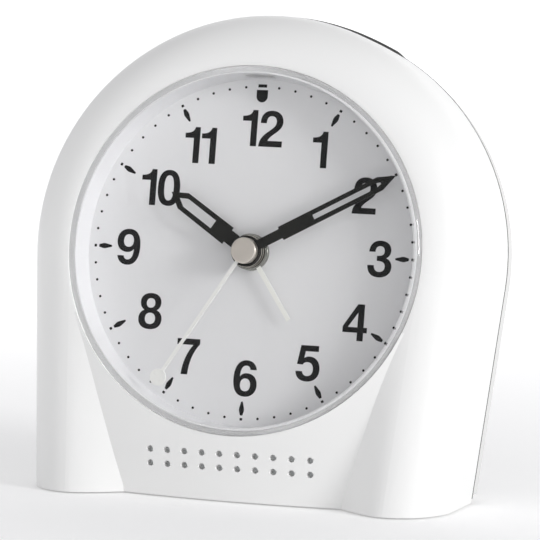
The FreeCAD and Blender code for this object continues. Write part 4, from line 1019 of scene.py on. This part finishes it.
def seam_band(name, radius, front, depth, foot):
    """A band round the arch and down both sides to a height above the table, in millimetres.

    It begins a little behind the seam and runs back from there by its depth.
    """
    taper = math.radians(SIDE_TAPER)
    band = arc_of(name, radius, 360, lambda at: at.y > -radius * math.sin(taper) - 0.01)
    bpy.ops.object.mode_set(mode="EDIT")
    for side in (-1, 1):
        pick(band, "verts", lambda vertex: vertex.co.x * side > 0 and len(vertex.link_edges) == 1)
        way = Vector((-side * math.sin(taper), -math.cos(taper), 0)) * LEG_REACH
        extrude(way)
    select_whole()
    extrude((0, 0, depth * MM))
    bpy.ops.object.mode_set(mode="OBJECT")
    place(band, Matrix.Translation((0, ARCH_RISE * MM, -(SEAM_BACK + front + depth) * MM)))
    thickened(band, BAND_WALL, 0)
    place(band, DIAL_PLACE)
    bpy.ops.object.mode_set(mode="EDIT")
    select_whole()
    bpy.ops.mesh.bisect(plane_co=(0, 0, foot * MM), plane_no=(0, 0, 1), clear_inner=True, use_fill=True)
    face_outwards()
    bpy.ops.object.mode_set(mode="OBJECT")
    smooth(band)
    return band


class CLOCK_OT_seam(bpy.types.Operator):
    """Models a dark strip in the seam, painted shade of its shadow line, and the rear cover's lip behind it"""
    bl_idname = "clock.seam"
    bl_label = "Model the seam strip"

    def execute(self, context):
        strip = seam_band("case_seam_strip", ARCH_R - SEAM_STRIP_IN, front=0.01, depth=0.38, foot=1.4)
        # The strip's dark rubber is painted shade of the seam's shadow line.
        carry(strip, "case", finish("foot_rubber"))
        lip = seam_band("rear_cover_lip", ARCH_R - COVER_LIP_IN, front=0.42, depth=5.0, foot=2.0)
        carry(lip, "case", finish("cover_white"))
        finish_piece("rear_cover_lip", lip)
        return finish_piece("case_seam_strip", strip)


class CLOCK_OT_springs(bpy.types.Operator):
    """Copies the two snooze springs into coils of their own in spring steel, and hides the original springs"""
    bl_idname = "clock.springs"
    bl_label = "Fit the snooze springs"

    def execute(self, context):
        press = Vector(joint("snooze_press")["axis"]).normalized()
        for side in ("left", "right"):
            node = frame["nodes"]["snooze_spring_" + side]
            name = "snooze_coil_" + side
            coil = new_object(name, node.data.copy())
            coil.data.name = name
            depths = [vertex.co.dot(press) for vertex in coil.data.vertices]
            centre = sum((vertex.co for vertex in coil.data.vertices), Vector()) / len(depths)
            ends = (max(depths), min(depths))
            foot, head = (tuple(centre + (depth - centre.dot(press)) * press) for depth in ends)
            carry(coil, None, finish("spring_steel"), [node.name])
            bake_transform(coil)
            finish_piece(name, coil)
        return {"FINISHED"}


class CLOCK_OT_second_hand(bpy.types.Operator):
    """Models the slim second hand with its round tip"""
    bl_idname = "clock.second_hand"
    bl_label = "Model the second hand"

    def execute(self, context):
        low, high = SECOND_LEVEL
        thick = high - low
        outline = [(-BLADE_ROOT, 0), (BLADE_ROOT, 0), (BLADE_TIP, BLADE_LENGTH), (-BLADE_TIP, BLADE_LENGTH)]
        blade = printed("second_hand_blade", outline, thick_mm=thick)
        disc = turned_ring("second_hand_disc", 0, TIP_DISC_R, 0, thick, rounding=0.08, steps=48)
        place(disc, Matrix.Translation((0, TIP_DISC_AT * MM, 0)))
        hub = turned_ring("second_hand_hub", 0, SECOND_HUB_R, -SECOND_HUB_BEHIND, thick, steps=48)
        hand = joined("second_hand_pointer", [blade, disc, hub])
        turn = Matrix.Rotation(-math.radians(SECOND_ANGLE), 4, "Z")
        place(hand, DIAL_PLACE @ Matrix.Translation((0, 0, low * MM)) @ turn)
        carry(hand, "seconds", finish("hand_white"), ["second_hand"])
        bore, ceiling = CAP_SOCKET
        outline = [(bore, CAP_LOW), (CAP_R, CAP_LOW), (CAP_R, CAP_TOP, CAP_ROUND), (CAP_R - 0.5, CAP_TOP),
                   (0, CAP_TOP), (0, ceiling), (bore, ceiling)]
        cap = lathed("second_hand_cap", outline, 96)
        place(cap, DIAL_PLACE)
        carry(cap, "seconds", finish("cap_nickel"), ["second_cap"])
        finish_piece("second_hand_cap", cap)
        return finish_piece("second_hand_pointer", hand)


# The stage, in metres: the table with its sweep up to the backdrop, and the softboxes with their sizes
FLOOR_SIZE, FLOOR_MIDDLE, BACKDROP_HEIGHT, SWEEP_R = 6.0, 1.0, 3.0, 1.2
FLOOR_END = FLOOR_MIDDLE + FLOOR_SIZE / 2
KEY_AT, KEY_SIZE = (1.089, -0.396, 0.366), 0.3
FRONT_AT, FRONT_SIZE = (0.268, -1.522, 0.469), 0.8
LIGHTS_AIM = Vector((0, 0, 0.055))
CAMERA_TURN = (18.15, 4.77, 1.86)          # to the clock's right, above it, and rolled, degrees
CAMERA_SHIFT = (4.14, -4.12, 830.3)        # right, up and back from the dial's centre, millimetres


class CLOCK_OT_stage(bpy.types.Operator):
    """Sets the floor, the lights and the camera"""
    bl_idname = "clock.stage"
    bl_label = "Set the stage"

    def execute(self, context):
        settings = context.scene.clock_stage
        deselect()
        bpy.ops.mesh.primitive_plane_add(size=FLOOR_SIZE, location=(0, FLOOR_MIDDLE, 0))
        floor = named("studio_floor")
        place(floor, Matrix.Identity(4))
        bpy.ops.object.mode_set(mode="EDIT")
        far = Vector((0, FLOOR_END, 0))
        pick(floor, "edges", lambda edge: (middle(edge) - far).length < SAME_POINT)
        extrude((0, 0, BACKDROP_HEIGHT))
        pick(floor, "edges", lambda edge: (middle(edge) - far).length < SAME_POINT)
        bpy.ops.mesh.bevel(offset=SWEEP_R, segments=16, affect="EDGES")
        bpy.ops.object.mode_set(mode="OBJECT")
        activate(floor)
        bpy.ops.object.shade_smooth()
        floor.data.materials.append(lit_table(settings.table, settings.backdrop))
        softbox("key_softbox", KEY_AT, KEY_SIZE, settings.key)
        softbox("front_softbox", FRONT_AT, FRONT_SIZE, settings.fill)
        world = bpy.data.worlds.new("white_surround")
        world.use_nodes = True
        world.node_tree.nodes["Background"].inputs["Color"].default_value = (*linear("#FCFCFE"), 1)
        world.node_tree.nodes["Background"].inputs["Strength"].default_value = settings.sky
        context.scene.world = world
        context.scene.view_settings.view_transform = "Standard"
        context.scene.camera = long_lens_camera(settings.focal_length)
        return {"FINISHED"}


def softbox(name, location, size, power):
    """A soft square light that faces the clock's middle."""
    data = bpy.data.lights.new(name, "AREA")
    data.shape = "SQUARE"
    data.size = size
    data.energy = power
    lamp = new_object(name, data)
    aim = LIGHTS_AIM - Vector(location)
    lamp.matrix_world = Matrix.Translation(location) @ aim.to_track_quat("-Z", "Y").to_matrix().to_4x4()


def long_lens_camera(focal_length):
    """A long lens to the clock's right and a little above it, with a slight roll."""
    data = bpy.data.cameras.new("camera")
    data.lens = focal_length
    data.sensor_width = 36.0
    data.clip_start = 0.05
    around, above, roll = (math.radians(angle) for angle in CAMERA_TURN)
    back = Vector((math.sin(around) * math.cos(above), -math.cos(around) * math.cos(above), math.sin(above)))
    level = Vector((math.cos(around), math.sin(around), 0))
    steep = back.cross(level)
    right = level * math.cos(roll) + steep * math.sin(roll)
    up = steep * math.cos(roll) - level * math.sin(roll)
    axes = Matrix((right, up, back)).transposed()
    camera = new_object("camera", data)
    camera.matrix_world = Matrix.Translation(DIAL_CENTRE + axes @ Vector(CAMERA_SHIFT) * MM) @ axes.to_4x4()
    return camera


class CLOCK_PT_sidebar(bpy.types.Panel):
    """Lists what the clock is dressed with"""
    bl_idname = "CLOCK_PT_sidebar"
    bl_label = "Alarm clock"
    bl_space_type = "VIEW_3D"
    bl_region_type = "UI"
    bl_category = "Clock"

    def draw(self, context):
        for group in (context.scene.clock_colours, context.scene.clock_sizes, context.scene.clock_stage):
            column = self.layout.column()
            for name in group.__annotations__:
                column.prop(group, name)
        for step in STEPS:
            self.layout.operator(step.bl_idname)


GROUPS = {"clock_colours": ClockColours, "clock_sizes": ClockSizes, "clock_stage": StageSettings}
STEPS = (CLOCK_OT_stage, CLOCK_OT_finishes, CLOCK_OT_numerals, CLOCK_OT_minute_dots, CLOCK_OT_hour_marks,
         CLOCK_OT_lens, CLOCK_OT_hubs, CLOCK_OT_second_hand, CLOCK_OT_snooze, CLOCK_OT_springs, CLOCK_OT_seam)


def register():
    for item in (*GROUPS.values(), *STEPS, CLOCK_PT_sidebar):
        bpy.utils.register_class(item)
    for name, group in GROUPS.items():
        setattr(bpy.types.Scene, name, PointerProperty(type=group))


def unregister():
    for name in GROUPS:
        delattr(bpy.types.Scene, name)
    for item in reversed((*GROUPS.values(), *STEPS, CLOCK_PT_sidebar)):
        bpy.utils.unregister_class(item)


def main():
    register()
    for step in STEPS:
        family, name = step.bl_idname.split(".")
        if getattr(getattr(bpy.ops, family), name)() != {"FINISHED"}:
            raise RuntimeError(step.bl_label + " didn't finish")


if __name__ == "__main__":
    main()
